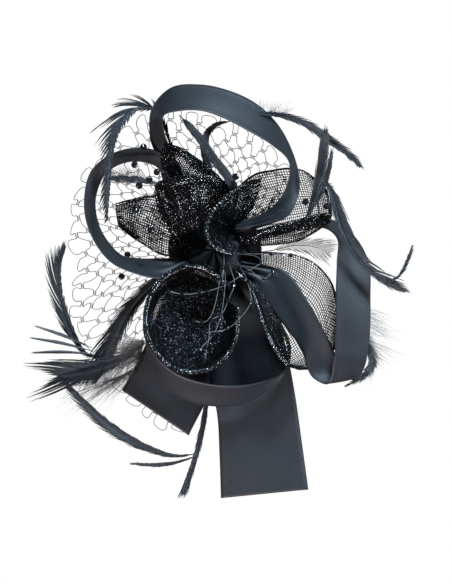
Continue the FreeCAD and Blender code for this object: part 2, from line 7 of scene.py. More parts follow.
# %% The frame
import math
import bpy
import numpy as np
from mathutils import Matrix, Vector


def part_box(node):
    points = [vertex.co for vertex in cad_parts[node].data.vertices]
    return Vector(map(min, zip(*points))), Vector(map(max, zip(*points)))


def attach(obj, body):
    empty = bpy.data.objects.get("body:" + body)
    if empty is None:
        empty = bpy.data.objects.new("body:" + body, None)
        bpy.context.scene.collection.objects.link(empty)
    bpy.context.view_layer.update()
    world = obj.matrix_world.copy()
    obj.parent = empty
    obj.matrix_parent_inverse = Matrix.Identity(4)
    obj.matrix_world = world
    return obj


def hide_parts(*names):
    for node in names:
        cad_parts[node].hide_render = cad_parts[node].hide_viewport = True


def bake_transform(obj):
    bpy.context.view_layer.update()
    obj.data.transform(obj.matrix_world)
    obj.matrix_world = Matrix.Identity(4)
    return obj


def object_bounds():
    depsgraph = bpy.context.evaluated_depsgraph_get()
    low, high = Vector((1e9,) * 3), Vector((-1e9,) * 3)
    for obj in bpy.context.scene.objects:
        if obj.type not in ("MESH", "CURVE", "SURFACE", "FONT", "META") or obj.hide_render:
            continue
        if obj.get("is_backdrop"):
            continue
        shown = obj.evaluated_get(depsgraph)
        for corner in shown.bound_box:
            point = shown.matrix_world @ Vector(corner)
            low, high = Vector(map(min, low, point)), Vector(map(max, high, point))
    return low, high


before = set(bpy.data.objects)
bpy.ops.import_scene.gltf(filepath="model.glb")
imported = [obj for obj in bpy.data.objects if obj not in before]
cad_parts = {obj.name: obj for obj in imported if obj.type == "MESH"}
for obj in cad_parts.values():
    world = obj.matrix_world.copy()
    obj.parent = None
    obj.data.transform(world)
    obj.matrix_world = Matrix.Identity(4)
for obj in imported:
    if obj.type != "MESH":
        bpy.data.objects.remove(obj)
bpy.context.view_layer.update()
MM = 0.001
rng = np.random.default_rng(7)

# %% [markdown]
# The camera comes before anything is made. The headpiece lies face up on a light table, so the
# camera looks straight down. A view with no perspective at all could be used, but real loops
# that stand higher do look a little bigger, so a long lens from two metres is chosen instead.

# %% Camera
LENS = 200
SENSOR = 36
VIEW_HEIGHT = 397.1 * MM
VIEW_MIDDLE = (7.5 * MM, -28.6 * MM)
VIEW_PLANE = 22 * MM            # the height that the view's size is measured at

camera_data = bpy.data.cameras.new("camera")
camera_data.lens = LENS
camera_data.sensor_width = SENSOR
camera = bpy.data.objects.new("camera", camera_data)
bpy.context.scene.collection.objects.link(camera)
camera.location = (*VIEW_MIDDLE, VIEW_PLANE + VIEW_HEIGHT * LENS / SENSOR)
bpy.context.scene.camera = camera
print("camera height %.3f m" % camera.location.z)

# %% [markdown]
# Ribbons, quills, petals and threads all follow smooth lines through a few given points.
# `smooth` gives evenly spaced points on such a line. It is a Hermite curve: each given point has
# a slope worked out from its neighbours. A curve object draws the same kind of line, but its
# points can't be read back to set out barbs and weave. `smooth` takes points of any dimension,
# so both edges of a ribbon, or a quill and its width, can be smoothed together.

# %% Smooth lines
def smooth(points, count):
    points = np.asarray(points, float)
    steps = np.linalg.norm(np.diff(points, axis=0), axis=1)
    reach = np.concatenate([[0], np.cumsum(np.maximum(steps, 1e-9))])
    slopes = np.gradient(points, reach, axis=0)
    places = np.linspace(0, reach[-1], count)
    span = np.clip(np.searchsorted(reach, places, side="right") - 1, 0, len(points) - 2)
    width = (reach[span + 1] - reach[span])[:, None]
    t = (places - reach[span])[:, None] / width
    start = (2 * t**3 - 3 * t**2 + 1) * points[span] + (t**3 - 2 * t**2 + t) * width * slopes[span]
    end = (3 * t**2 - 2 * t**3) * points[span + 1] + (t**3 - t**2) * width * slopes[span + 1]
    return start + end


def unit(vectors):
    return vectors / np.maximum(np.linalg.norm(vectors, axis=-1, keepdims=True), 1e-12)


def length_of(path):
    return float(np.linalg.norm(np.diff(path, axis=0), axis=1).sum())


def facing(path, like=(0, 0, 1)):
    """A side direction for each point of a path that turns with it and never flips."""
    along = unit(np.gradient(path, axis=0))
    sides = []
    side = np.cross(along[0], like)
    if np.linalg.norm(side) < 0.1:
        side = np.cross(along[0], (1, 0, 0))
    for direction in along:
        side = side - direction * np.dot(side, direction)
        side = side / np.linalg.norm(side)
        sides.append(side)
    return np.array(sides)


bow = smooth([(1, 0), (0.707, 0.707), (0, 1)], 40)
print("a quarter circle through 3 points is %.3f long, and should be 1.571" % length_of(bow))

# %% [markdown]
# Most of the headpiece is strands: barbs, straw, net thread, bead stems. One function makes
# closed, tapered strands from many paths at once, as arrays, because thousands of curve
# objects would be slow. A strand is a ring of corners at each point of its path, joined along,
# with a cap at both ends, so that it is a closed solid and exports cleanly.

# %% Strands and meshes
def rings_to_surface(rings):
    """Points and faces of closed strands; rings is strands x rings x corners x 3."""
    strands, count, corners, _ = rings.shape
    index = np.arange(strands * count * corners).reshape(strands, count, corners)
    here = index[:, :-1]
    ahead = index[:, 1:]
    walls = np.stack([here, ahead, np.roll(ahead, -1, 2), np.roll(here, -1, 2)], axis=-1)
    caps = np.concatenate([index[:, 0], index[:, -1, ::-1]])
    return rings.reshape(-1, 3), walls.reshape(-1, 4), caps


def strands(paths, across, half_width, half_depth=None, corners=4):
    """Closed strands along paths (strands x points x 3), wide along `across`."""
    paths = np.asarray(paths, float)
    along = unit(np.gradient(paths, axis=1))
    across = np.broadcast_to(across, paths.shape)
    across = unit(across - along * (across * along).sum(-1, keepdims=True))
    up = np.cross(across, along)
    half_width = np.broadcast_to(half_width, paths.shape[:2])[..., None, None]
    half_depth = half_width if half_depth is None else (
        np.broadcast_to(half_depth, paths.shape[:2])[..., None, None])
    turn = 2 * math.pi * (np.arange(corners) + 0.5) / corners
    cosine = np.cos(turn)[:, None]
    sine = np.sin(turn)[:, None]
    rings = (paths[:, :, None] + across[:, :, None] * half_width * cosine
             + up[:, :, None] * half_depth * sine)
    return rings_to_surface(rings)


def thread(path, radius, corners=5):
    """One round thread along one path."""
    path = np.asarray(path, float)
    return strands(path[None], facing(path)[None], radius, corners=corners)


points, walls, caps = thread([(0, 0, 0), (0, 0, 1), (0, 1, 1)], 0.1)
print("a thread through 3 points has", len(walls), "walls and", len(caps), "caps")

# %% [markdown]
# Every piece becomes an object the same way. It rides on one body of the imported design, names
# the imported node that it stands for, and takes its finish. Doing this
# in one place means that no piece can be left behind when the clip opens.

# %% From surfaces to a piece
def make_piece(name, surfaces, finish, replaces=(), smooth_faces=True, body="headpiece"):
    """One object from a list of surfaces, each given as points and arrays of faces."""
    label = name + "_finished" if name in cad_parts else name
    points = []
    faces = []
    first = 0
    for surface in surfaces:
        points.append(surface[0])
        for group in surface[1:]:
            faces.extend((np.asarray(group) + first).tolist())
        first += len(surface[0])
    mesh = bpy.data.meshes.new(label)
    mesh.from_pydata(np.concatenate(points).tolist(), [], faces)
    mesh.polygons.foreach_set("use_smooth", [smooth_faces] * len(mesh.polygons))
    mesh.materials.append(finish)
    mesh.update()
    piece = bpy.data.objects.new(label, mesh)
    bpy.context.scene.collection.objects.link(piece)
    if body:
        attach(piece, body)
    if replaces:
        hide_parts(*replaces)
    print("%-34s %6d faces" % (label, len(mesh.polygons)))
    return piece


# %% [markdown]
# The finishes come next. Everything here is black, so each finish has to differ by how it takes
# the light. Two effects are shared by several finishes and are node groups: `fine weave`, the
# crossing threads of a cloth, and `uneven dye`, the soft change of depth that dyed goods have.
# Both only put out values. Shine is set on each finish's own shader.

# %% Shared effects
def new_group(name, inputs, outputs):
    tree = bpy.data.node_groups.new(name, "ShaderNodeTree")
    for label, kind, value in inputs:
        socket = tree.interface.new_socket(label, in_out="INPUT", socket_type=kind)
        if value is not None:
            socket.default_value = value
    for label, kind in outputs:
        tree.interface.new_socket(label, in_out="OUTPUT", socket_type=kind)
    return tree, tree.nodes.new("NodeGroupInput"), tree.nodes.new("NodeGroupOutput")


def maths(tree, operation, first, second=None):
    """A maths node; each operand is a socket or a number."""
    node = tree.nodes.new("ShaderNodeMath")
    node.operation = operation
    for place, operand in enumerate((first, second)):
        if operand is None:
            continue
        if isinstance(operand, (int, float)):
            node.inputs[place].default_value = operand
        else:
            tree.links.new(operand, node.inputs[place])
    return node.outputs[0]


def fine_weave():
    """Warp and weft at a given pitch, from coordinates in metres."""
    tree, given, result = new_group(
        "fine weave",
        [("Place", "NodeSocketVector", None), ("Warp pitch", "NodeSocketFloat", 0.0004),
         ("Weft pitch", "NodeSocketFloat", 0.0004), ("Float", "NodeSocketFloat", 0.3)],
        [("Height", "NodeSocketFloat"), ("Thread", "NodeSocketFloat")])
    split = tree.nodes.new("ShaderNodeSeparateXYZ")
    tree.links.new(given.outputs["Place"], split.inputs[0])
    waves = []
    for axis, pitch in (("X", "Warp pitch"), ("Y", "Weft pitch")):
        turns = maths(tree, "DIVIDE", split.outputs[axis], given.outputs[pitch])
        waves.append(maths(tree, "SINE", maths(tree, "MULTIPLY", turns, 2 * math.pi)))
    crossed = maths(tree, "MULTIPLY", waves[0], waves[1])
    floats = maths(tree, "MULTIPLY", waves[1], given.outputs["Float"])
    height = maths(tree, "ADD", maths(tree, "MULTIPLY", crossed, 0.5), floats)
    tree.links.new(height, result.inputs["Height"])
    tree.links.new(maths(tree, "ABSOLUTE", waves[0]), result.inputs["Thread"])
    return tree


def uneven_dye():
    """Soft light and dark patches, and a finer grain within them."""
    tree, given, result = new_group(
        "uneven dye",
        [("Place", "NodeSocketVector", None), ("Patch", "NodeSocketFloat", 60.0),
         ("Grain", "NodeSocketFloat", 900.0)],
        [("Depth", "NodeSocketFloat"), ("Grain", "NodeSocketFloat")])
    for label, scale, detail in (("Depth", "Patch", 3), ("Grain", "Grain", 5)):
        noise = tree.nodes.new("ShaderNodeTexNoise")
        noise.inputs["Detail"].default_value = detail
        tree.links.new(given.outputs["Place"], noise.inputs["Vector"])
        tree.links.new(given.outputs[scale], noise.inputs["Scale"])
        tree.links.new(noise.outputs["Fac"], result.inputs[label])
    return tree


WEAVE = fine_weave()
DYE = uneven_dye()
print("groups:", [group.name for group in bpy.data.node_groups])

# %% [markdown]
# A finish starts from `new_finish`, which gives the shader and the uneven dye between a dark and
# a light colour. `relief` turns a height into a bump, and `weave_on` lays the fine weave along a
# cloth. Each finish could be built node by node, but then a small change would be made 15 times.

# %% Finish helpers
def new_finish(name, dark, light, roughness, patch=60.0, grain=900.0, **shine):
    """A dyed finish: colour between dark and light with the dye, other sockets as given."""
    material = bpy.data.materials.new(name)
    material.use_nodes = True
    tree = material.node_tree
    shader = tree.nodes["Principled BSDF"]
    shader.inputs["Roughness"].default_value = roughness
    for label, value in shine.items():
        shader.inputs[label.replace("_", " ")].default_value = value
    place = tree.nodes.new("ShaderNodeTexCoord")
    dye = tree.nodes.new("ShaderNodeGroup")
    dye.node_tree = DYE
    dye.inputs["Patch"].default_value = patch
    dye.inputs["Grain"].default_value = grain
    tree.links.new(place.outputs["Object"], dye.inputs["Place"])
    blend = tree.nodes.new("ShaderNodeMix")
    blend.data_type = "RGBA"
    blend.inputs["A"].default_value = (*dark, 1)
    blend.inputs["B"].default_value = (*light, 1)
    tree.links.new(dye.outputs["Depth"], blend.inputs["Factor"])
    tree.links.new(blend.outputs["Result"], shader.inputs["Base Color"])
    return material, tree, shader, dye


def relief(tree, shader, height, distance, strength=1.0):
    bump = tree.nodes.new("ShaderNodeBump")
    bump.inputs["Distance"].default_value = distance
    bump.inputs["Strength"].default_value = strength
    tree.links.new(height, bump.inputs["Height"])
    tree.links.new(bump.outputs["Normal"], shader.inputs["Normal"])


def weave_on(tree, warp, weft, floating):
    """The fine weave, laid along a cloth's own length and width."""
    cloth = tree.nodes.new("ShaderNodeUVMap")
    cloth.uv_map = "cloth"
    node = tree.nodes.new("ShaderNodeGroup")
    node.node_tree = WEAVE
    node.inputs["Warp pitch"].default_value = warp
    node.inputs["Weft pitch"].default_value = weft
    node.inputs["Float"].default_value = floating
    tree.links.new(cloth.outputs["UV"], node.inputs["Place"])
    return node


print("finishes before the first one is made:", len(bpy.data.materials))

# %% [markdown]
# Satin is a weave with long floats on its face, and that is what makes it shine along one
# direction. The threads are far too fine to model, so they are a bump from the fine weave, with
# coordinates that follow the ribbon. The dye makes the faint cloudy change along it.

# %% Satin
def satin_finish():
    material, tree, shader, dye = new_finish(
        "black satin", (0.012, 0.0135, 0.0165), (0.024, 0.0265, 0.031), 0.44, patch=35.0,
        grain=1400.0, Specular_IOR_Level=0.62, Sheen_Weight=0.12, Sheen_Roughness=0.35)
    weave = weave_on(tree, 0.35 * MM, 1.1 * MM, 0.55)
    grain = maths(tree, "MULTIPLY", dye.outputs["Grain"], 1.1)
    height = maths(tree, "ADD", weave.outputs["Height"], grain)
    relief(tree, shader, height, 0.00005, 0.55)
    gloss = maths(tree, "ADD", maths(tree, "MULTIPLY", dye.outputs["Grain"], 0.2), 0.42)
    tree.links.new(gloss, shader.inputs["Roughness"])
    return material


SATIN = satin_finish()
print("finish:", SATIN.name)

# %% [markdown]
# Dyed straw is almost matt, but the strands were pressed while wet, and the pressed spots glint.
# A gloss over the whole strand would turn it grey. So the dye's fine grain is cut off sharply
# into a mask, and only there does the strand get a hard clear coat. The folded edges were
# pressed harder, so more of them glints.

# %% Straw
GLINT_SHARPNESS = 14.0          # how abruptly a pressed spot begins
PRESSED = dict(Coat_Roughness=0.2, Coat_IOR=2.65, Specular_IOR_Level=0.05)


def straw_finish(name, light, polished):
    """Dyed straw; the larger `polished` is, the more of the strand was pressed flat."""
    material, tree, shader, dye = new_finish(
        name, (0.0015, 0.0015, 0.002), light, 0.42, patch=300.0, grain=850.0, **PRESSED)
    relief(tree, shader, dye.outputs["Grain"], 0.12 * MM, 0.5)
    above = maths(tree, "SUBTRACT", dye.outputs["Grain"], 0.6 - 0.3 * polished)
    sharp = maths(tree, "MULTIPLY", above, GLINT_SHARPNESS)
    glint = maths(tree, "MINIMUM", maths(tree, "MAXIMUM", sharp, 0.0), 1.0)
    tree.links.new(glint, shader.inputs["Coat Weight"])
    return material


STRAW = straw_finish("dyed straw", (0.004, 0.004, 0.0046), 0.25)
HEM = straw_finish("folded straw edge", (0.008, 0.008, 0.009), 0.4)
print("finishes:", STRAW.name, "and", HEM.name)

# %% [markdown]
# Feather barbs are matt at the edge and silky on the flat, so they get sheen. Down is the same
# with a paler dye. Net thread is matt nylon, and the stems of the beads are shiny nylon, clear
# in the middle and black at the sides. The clear ones are painted light grey, a painted reflection
# of the white light round them. The beads are black glass with a bright, clean gloss.

# %% Feather, net, stem and bead
def plain_finish(name, dark, light, roughness, ridges=0.0, **shine):
    material, tree, shader, dye = new_finish(name, dark, light, roughness, **shine)
    if ridges:
        relief(tree, shader, dye.outputs["Grain"], ridges, 0.7)
    return material




FEATHER = plain_finish("black feather", (0.008, 0.0095, 0.012), (0.028, 0.032, 0.038), 0.5, 0.00008,
                       patch=180.0, grain=3000.0, Sheen_Weight=0.25, Sheen_Roughness=0.4)
QUILL = plain_finish("quill", (0.012, 0.013, 0.015), (0.035, 0.038, 0.042), 0.35, 0.00005,
                     patch=400.0, grain=3000.0, Specular_IOR_Level=0.6)
DOWN = plain_finish("grey brown down", (0.045, 0.036, 0.031), (0.17, 0.14, 0.125), 0.7, 0.0,
                    patch=90.0, grain=2500.0, Sheen_Weight=0.3)
PALE_DOWN = plain_finish("smoke down", (0.05, 0.06, 0.07), (0.16, 0.18, 0.2), 0.7, 0.0,
                         patch=90.0, grain=2500.0, Sheen_Weight=0.3)
DARK_FEATHER = plain_finish("jet feather", (0.002, 0.002, 0.0025), (0.01, 0.011, 0.013), 0.5,
                            0.00008, patch=180.0, grain=3000.0, Sheen_Weight=0.1,
                            Sheen_Roughness=0.4)
NET = plain_finish("net thread", (0.012, 0.013, 0.014), (0.035, 0.036, 0.04), 0.55, 0.00004,
                   patch=400.0, grain=4000.0)
# The clear nylon gets a light grey colour: a painted reflection that stands in for the white light
# the thin clear stems show.
STEM_PAINTED_SHINE = plain_finish("clear nylon with painted shine", (0.24, 0.245, 0.255), (0.42, 0.43, 0.44), 0.16, 0.00003,
                    patch=500.0, grain=3000.0, Specular_IOR_Level=0.8)
DARK_STEM = plain_finish("black nylon", (0.008, 0.008, 0.009), (0.03, 0.03, 0.033), 0.25, 0.00003,
                         patch=500.0, grain=3000.0, Specular_IOR_Level=0.6)
BEAD = plain_finish("black glass", (0.004, 0.004, 0.005), (0.015, 0.015, 0.017), 0.12, 0.0,
                    patch=600.0, grain=3000.0, IOR=1.8, Specular_IOR_Level=0.6)
print("finishes so far:", len(bpy.data.materials))

# %% [markdown]
# The base is felt, with a woven lining, and thread binds the roots. The hair clip is stamped
# from blackened spring steel. Its lines come from rolling, so they are a noise stretched far
# along the strip, and hair has rubbed it unevenly, so its roughness follows the grain.

# %% Felt, lining, thread and steel
FELT = plain_finish("black felt", (0.009, 0.009, 0.01), (0.03, 0.03, 0.032), 0.9, 0.0006,
                    patch=220.0, grain=1500.0, Sheen_Weight=0.4, Sheen_Roughness=0.6)
# The roots are a deeper, duller black than the satin of their own ribbons: painted shade, so that
# the deep hole in the middle of the petals reads black.
ROOT_PAINTED_SHADE = plain_finish("glued ribbon ends in painted shade", (0.002, 0.002, 0.0025), (0.008, 0.008, 0.009), 0.7,
                         0.0003, patch=260.0, grain=1200.0)
THREAD = plain_finish("sewing thread", (0.015, 0.015, 0.017), (0.04, 0.04, 0.044), 0.55, 0.0001,
                      patch=500.0, grain=4000.0)


def lining_finish():
    material, tree, shader, dye = new_finish(
        "lining cloth", (0.014, 0.014, 0.016), (0.032, 0.032, 0.036), 0.6, patch=120.0)
    weave = weave_on(tree, 0.0006, 0.0006, 0.0)
    relief(tree, shader, weave.outputs["Height"], 0.0001, 0.8)
    return material


def steel_finish(name, roughness):
    material, tree, shader, dye = new_finish(
        name, (0.05, 0.052, 0.056), (0.12, 0.122, 0.128), roughness, patch=90.0, Metallic=1.0)
    place = tree.nodes.new("ShaderNodeTexCoord")
    stretch = tree.nodes.new("ShaderNodeMapping")
    stretch.inputs["Scale"].default_value = (60, 4000, 1500)
    lines = tree.nodes.new("ShaderNodeTexNoise")
    lines.inputs["Scale"].default_value = 1.0
    tree.links.new(place.outputs["Object"], stretch.inputs["Vector"])
    tree.links.new(stretch.outputs["Vector"], lines.inputs["Vector"])
    relief(tree, shader, lines.outputs["Fac"], 0.00003, 0.6)
    worn = maths(tree, "MULTIPLY", dye.outputs["Grain"], 0.25)
    rubbed = maths(tree, "ADD", worn, roughness - 0.1)
    tree.links.new(rubbed, shader.inputs["Roughness"])
    return material


LINING = lining_finish()
CLIP_STEEL = steel_finish("clip steel", 0.34)
SPRING_STEEL = steel_finish("spring steel", 0.26)
print("finishes:", len(bpy.data.materials))

# %% [markdown]
# A ribbon is a strip between two edges, given as pairs of points: near the base, and away from
# it. At its foot the real ribbon is pinched, so it is narrower than it was cut. The spare width
# goes into small pleats there, which keep the cloth's true width. Cloth simulation could form a
# loop, but stiff satin that was pinned by hand keeps the path it was given, so the path is
# drawn. The strip is a thin solid with real thickness, and its `cloth` coordinates are metres
# along and across it, for the weave.

# %% Ribbon maker
RIBBON_THICKNESS = 0.35 * MM
RIBBON_STEPS = 14
PLEATS = 2.5
PLEAT_ZONE = 30 * MM            # pleats fade out this far from each foot
PLEAT_SLOPE = 1.57              # a wave's steepest slope against its mean slope
RIPPLE_HEIGHT = 0.35 * MM       # satin is never quite flat along its length
RIPPLE_LENGTH = 9 * MM


def pleat_depth(cloth_width, span, travelled, whole, feet):
    """How deep the pleats are, so that the pinched strip keeps its cut width."""
    ratio = np.maximum(cloth_width / span, 1)
    steep = PLEAT_SLOPE * np.sqrt(ratio**2 - 1)
    depth = steep * span / (2 * math.pi * PLEATS)
    near_foot = np.zeros_like(travelled)
    if "start" in feet:
        near_foot = np.maximum(near_foot, 1 - travelled / PLEAT_ZONE)
    if "end" in feet:
        near_foot = np.maximum(near_foot, 1 - (whole - travelled) / PLEAT_ZONE)
    return depth * np.clip(near_foot * 1.4, 0, 1)


def ribbon(name, stations, cloth_width, feet, bow, count, curl=0.5):
    """A ribbon through pairs of points; `feet` are its gathered ends, `bow` its crown in mm."""
    edges = smooth(np.array(stations, float).reshape(len(stations), 6) * MM, count)
    near = edges[:, :3]
    far = edges[:, 3:]
    middle = (near + far) / 2
    across = far - near
    span = np.linalg.norm(across, axis=1)
    face = unit(np.cross(np.gradient(middle, axis=0), across))
    steps = np.linalg.norm(np.diff(middle, axis=0), axis=1)
    travelled = np.concatenate([[0], np.cumsum(steps)])
    whole = travelled[-1]
    depth = pleat_depth(cloth_width, span, travelled, whole, feet)
    place = np.linspace(0, 1, RIBBON_STEPS + 1)
    wave = np.sin(2 * math.pi * PLEATS * place + 0.6)
    crown = bow * MM * np.sin(math.pi * place)
    rolled = curl * MM * (np.abs(2 * place - 1) ** 6)
    along_it = np.sin(travelled / RIPPLE_LENGTH)[:, None]
    ripple = RIPPLE_HEIGHT * along_it * np.sin(math.pi * place + 0.7)
    lift = depth[:, None] * wave + crown + rolled + ripple + RIBBON_THICKNESS / 2
    cloth = near[:, None] + across[:, None] * place[:, None] + face[:, None] * lift[..., None]
    outward = unit(np.cross(np.gradient(cloth, axis=0), np.gradient(cloth, axis=1)))
    front = cloth + outward * RIBBON_THICKNESS / 2
    back = cloth - outward * RIBBON_THICKNESS / 2
    rings = np.concatenate([front, back[:, ::-1]], axis=1)[None]
    points, walls, _ = rings_to_surface(rings)
    corners = 2 * (RIBBON_STEPS + 1)
    order = np.arange(RIBBON_STEPS)
    first = np.stack([order, order + 1, corners - 2 - order, corners - 1 - order], axis=-1)
    last = first[:, ::-1] + (count - 1) * corners
    piece = make_piece(name, [(points, walls, first, last)], SATIN, [name])
    u = np.tile(np.concatenate([place, place[::-1]]) * cloth_width, count)
    v = np.repeat(travelled, corners)
    lay_cloth(piece, u, v)
    share = cloth_area(cloth) / (cloth_width * whole)
    print("   %.0f mm long, shows %.2f of its cut area" % (whole / MM, share))


def lay_cloth(piece, u, v):
    """Puts metres across and along the cloth on the piece, as coordinates for its weave."""
    mesh = piece.data
    layer = mesh.uv_layers.new(name="cloth")
    corner = np.zeros(len(mesh.loops), int)
    mesh.loops.foreach_get("vertex_index", corner)
    layer.data.foreach_set("uv", np.stack([u[corner], v[corner]], axis=-1).ravel())


def cloth_area(grid):
    """Area of a grid of points, as two triangles in each cell."""
    a = grid[:-1, :-1]
    b = grid[1:, :-1]
    c = grid[1:, 1:]
    d = grid[:-1, 1:]
    return float((np.linalg.norm(np.cross(b - a, c - a), axis=-1)
                  + np.linalg.norm(np.cross(c - a, d - a), axis=-1)).sum() / 2)


print("a ribbon has", RIBBON_STEPS, "strips across and", PLEATS, "pleats at a foot")

# %% [markdown]
# Four loops of 25 mm ribbon stand on edge round the middle, and two tails of 60 mm ribbon lie
# under them. Each pair of points is one place along the ribbon: its upper edge, then its lower.
# Giving both edges, and not a middle line and a twist, makes it plain how the ribbon leans.

# %% Ribbon loops
LOOP_TOP = [
    ((-7, 17, 15), (-9, 17, 7)), ((-15, 38, 18), (-22, 35, 8)), ((-25, 60, 25), (-37, 61, 13)),
    ((-33, 78, 36), (-44, 78, 19)), ((-34, 90, 40), (-42, 97, 20)), ((-25, 93, 40), (-31, 109, 21)),
    ((-9, 93, 40), (-10, 112, 23)), ((6, 88, 40), (9, 108, 24)), ((22, 80, 39), (29, 98, 22)),
    ((38, 70, 38), (46, 80, 17)), ((50, 57, 36), (56, 54, 18)), ((47, 40, 29), (56, 36, 25)),
    ((38, 28, 23), (50, 23, 30)), ((26, 21, 19), (33, 16, 27)), ((13, 17, 17.6), (14, 12, 22))]
LOOP_LEFT = [
    ((-17, 11, 14), (-18, 10, 6)), ((-28, 42, 18), (-33, 36, 6)), ((-38, 67, 21), (-39, 57, 7)),
    ((-51, 70, 27), (-51, 61, 8)), ((-69, 66, 31), (-66, 59, 9)), ((-83, 55, 33), (-76, 52, 9)),
    ((-89, 37, 33), (-82, 36, 9)), ((-88, 20, 33), (-81, 21, 9)), ((-80, 2, 32), (-75, 7, 9)),
    ((-68, -11, 31), (-64, -4, 9)), ((-54, -17, 30), (-52, -6, 9)), ((-37, -20, 28), (-35, -6, 9)),
    ((-18, -11, 15), (-18, -5, 8))]
LOOP_RIGHT = [
    ((20, 3, 14), (21, 1, 6)), ((42, 9, 14), (43, 16, 6)), ((60, 13, 19), (62, 20, 6)),
    ((74, 14, 26), (81, 20, 9)), ((82, 7, 36), (93, 11, 17)), ((82, -8, 41), (103, -6, 28)),
    ((81, -34, 42), (105, -34, 34)), ((81, -60, 41), (104, -62, 34)),
    ((80, -76, 39), (101, -79, 33)), ((76, -90, 33), (95, -87, 28)), ((67, -87, 29), (87, -79, 26)),
    ((58, -67, 27), (77, -61, 30)), ((41, -44, 25), (63, -35, 30)), ((28, -26, 23), (48, -15, 27)),
    ((13, -13, 18), (18, -8, 24))]
LOOP_BOTTOM = [
    ((-12, -17, 15), (-12, -16, 8)), ((-34, -23, 24), (-30, -25, 10)),
    ((-45, -35, 33), (-41, -36, 12)), ((-49, -48, 34), (-44, -50, 13)),
    ((-47, -63, 34), (-46, -73, 14)), ((-37, -76, 34), (-38, -91, 14)),
    ((-20, -87, 34), (-20, -103, 14)), ((0, -92, 34), (0, -107, 14)),
    ((20, -92, 34), (20, -106, 13)), ((38, -88, 32), (36, -98, 11)), ((50, -81, 26), (48, -83, 10)),
    ((52, -66, 18), (50, -66, 9)), ((40, -42, 16), (38, -42, 9)), ((13, -15, 15), (12, -15, 9))]
TAIL_LONG = [
    ((-2, -19, 7), (14, -16, 7)), ((-7, -40, 6.6), (40, -36, 6.6)), ((-9, -72, 6), (48, -64, 6)),
    ((1, -110, 5), (55, -100, 5)), ((3, -140, 4), (60, -135, 4)), ((4, -170, 3), (64, -164, 3))]
TAIL_SHORT = [
    ((-17, -9, 5.4), (-7, -18, 5.4)), ((-40, -45, 5.1), (-6, -58, 5.1)),
    ((-50, -70, 4.9), (-2, -90, 4.9)), ((-64, -96, 4.8), (-18, -127, 4.8))]
NARROW = 25 * MM
WIDE = 60 * MM
BOTH = ("start", "end")

ribbon("ribbon_loop_top", LOOP_TOP, NARROW, BOTH, 0.5, 160)
ribbon("ribbon_loop_left", LOOP_LEFT, NARROW, BOTH, 0.4, 150)
ribbon("ribbon_loop_right", LOOP_RIGHT, NARROW, BOTH, 0.6, 160)
ribbon("ribbon_loop_bottom", LOOP_BOTTOM, NARROW, BOTH, 0.5, 170)
ribbon("ribbon_tail_long", TAIL_LONG, WIDE, ("start",), 0.4, 110, curl=0.3)
ribbon("ribbon_tail_short", TAIL_SHORT, WIDE, ("start",), 0.4, 80, curl=0.3)

# %% [markdown]
# The petals are stiff open straw cloth. A picture of a weave on a flat sheet would show no gaps,
# and the gaps are what makes this cloth, so every strand is made. The petal's shape is a grid of
# points, made smooth in both directions. Then lengthwise and crosswise strands follow it and go
# over and under each other, by a small step along the petal's own outward direction. At the
# foot, where the cloth is gathered, the strands draw together by themselves.

# %% Straw cloth maker
STRAND_HALF_WIDTH = 0.38 * MM
STRAND_HALF_DEPTH = 0.1 * MM
OVER_UNDER = 0.2 * MM
STRAW_PITCH = 1.85 * MM
LAYER_GAP = 0.9 * MM            # between the two layers of a doubled petal
CLOSER_INSIDE = 0.08            # the inner layer is woven this much closer


def spread(grid, rows, columns):
    """A smooth fine grid through a coarse one."""
    grid = np.asarray(grid, float)
    down = smooth(grid.reshape(len(grid), -1), rows).reshape(rows, -1, 3)
    sideways = down.transpose(1, 0, 2)
    over = smooth(sideways.reshape(len(sideways), -1), columns)
    return over.reshape(columns, rows, 3).transpose(1, 0, 2)


def outward_of(grid):
    return unit(np.cross(np.gradient(grid, axis=1), np.gradient(grid, axis=0)))


def woven(grid, pitch, lift=0.0, wander=0.16):
    """Closed strands both ways over a coarse grid, and the fine grid that they follow."""
    rough = spread(grid, 24, 24)
    tall = np.linalg.norm(np.diff(rough, axis=0), axis=-1).sum(0)
    wide = np.linalg.norm(np.diff(rough, axis=1), axis=-1).sum(1)
    lengthwise = max(int(wide.max() / pitch), 4)
    crosswise = max(int(tall.max() / pitch), 4)
    fine = spread(grid, 2 * crosswise + 1, 2 * lengthwise + 1)
    outward = outward_of(fine)
    rows = np.arange(fine.shape[0])[:, None]
    columns = np.arange(fine.shape[1])[None, :]
    drift = (np.sin(rows * 0.31 + columns * 0.07 + rng.uniform(0, 6))
             + np.sin(rows * 0.13 - columns * 0.23 + rng.uniform(0, 6))) * wander / 2
    sideways = np.gradient(fine, axis=1) * 2
    fine = fine + sideways * drift[..., None] + outward * lift
    ways = []
    for axis, flip in ((1, 1), (0, -1)):
        lines = fine if axis == 0 else fine.transpose(1, 0, 2)
        normals = outward if axis == 0 else outward.transpose(1, 0, 2)
        lines = lines[1::2]
        normals = normals[1::2]
        along = np.arange(lines.shape[1])
        which = np.arange(lines.shape[0])[:, None]
        step = np.sin(along * math.pi / 2)[None] * (-1.0) ** which * flip
        paths = lines + normals * (step * OVER_UNDER)[..., None]
        across = np.cross(normals, unit(np.gradient(lines, axis=1)))
        widths = STRAND_HALF_WIDTH * rng.uniform(0.75, 1.2, (lines.shape[0], 1))
        ways.append(strands(paths, across, widths, STRAND_HALF_DEPTH))
    return ways, fine


def petal(name, grid, layers):
    """One petal of one or two layers of cloth; the second lies just inside the first."""
    grid = np.array(grid, float) * MM
    made = []
    for layer in range(layers):
        ways, fine = woven(grid, STRAW_PITCH * (1 - CLOSER_INSIDE * layer), -LAYER_GAP * layer)
        label = name if layer == 0 else name + "_inside"
        piece = make_piece(label, ways, STRAW, [name] if layer == 0 else ())
        made.append(fine)
    return made[0]


print("straw: a strand each %.2f mm, %.2f mm wide" % (STRAW_PITCH / MM, 2 * STRAND_HALF_WIDTH / MM))

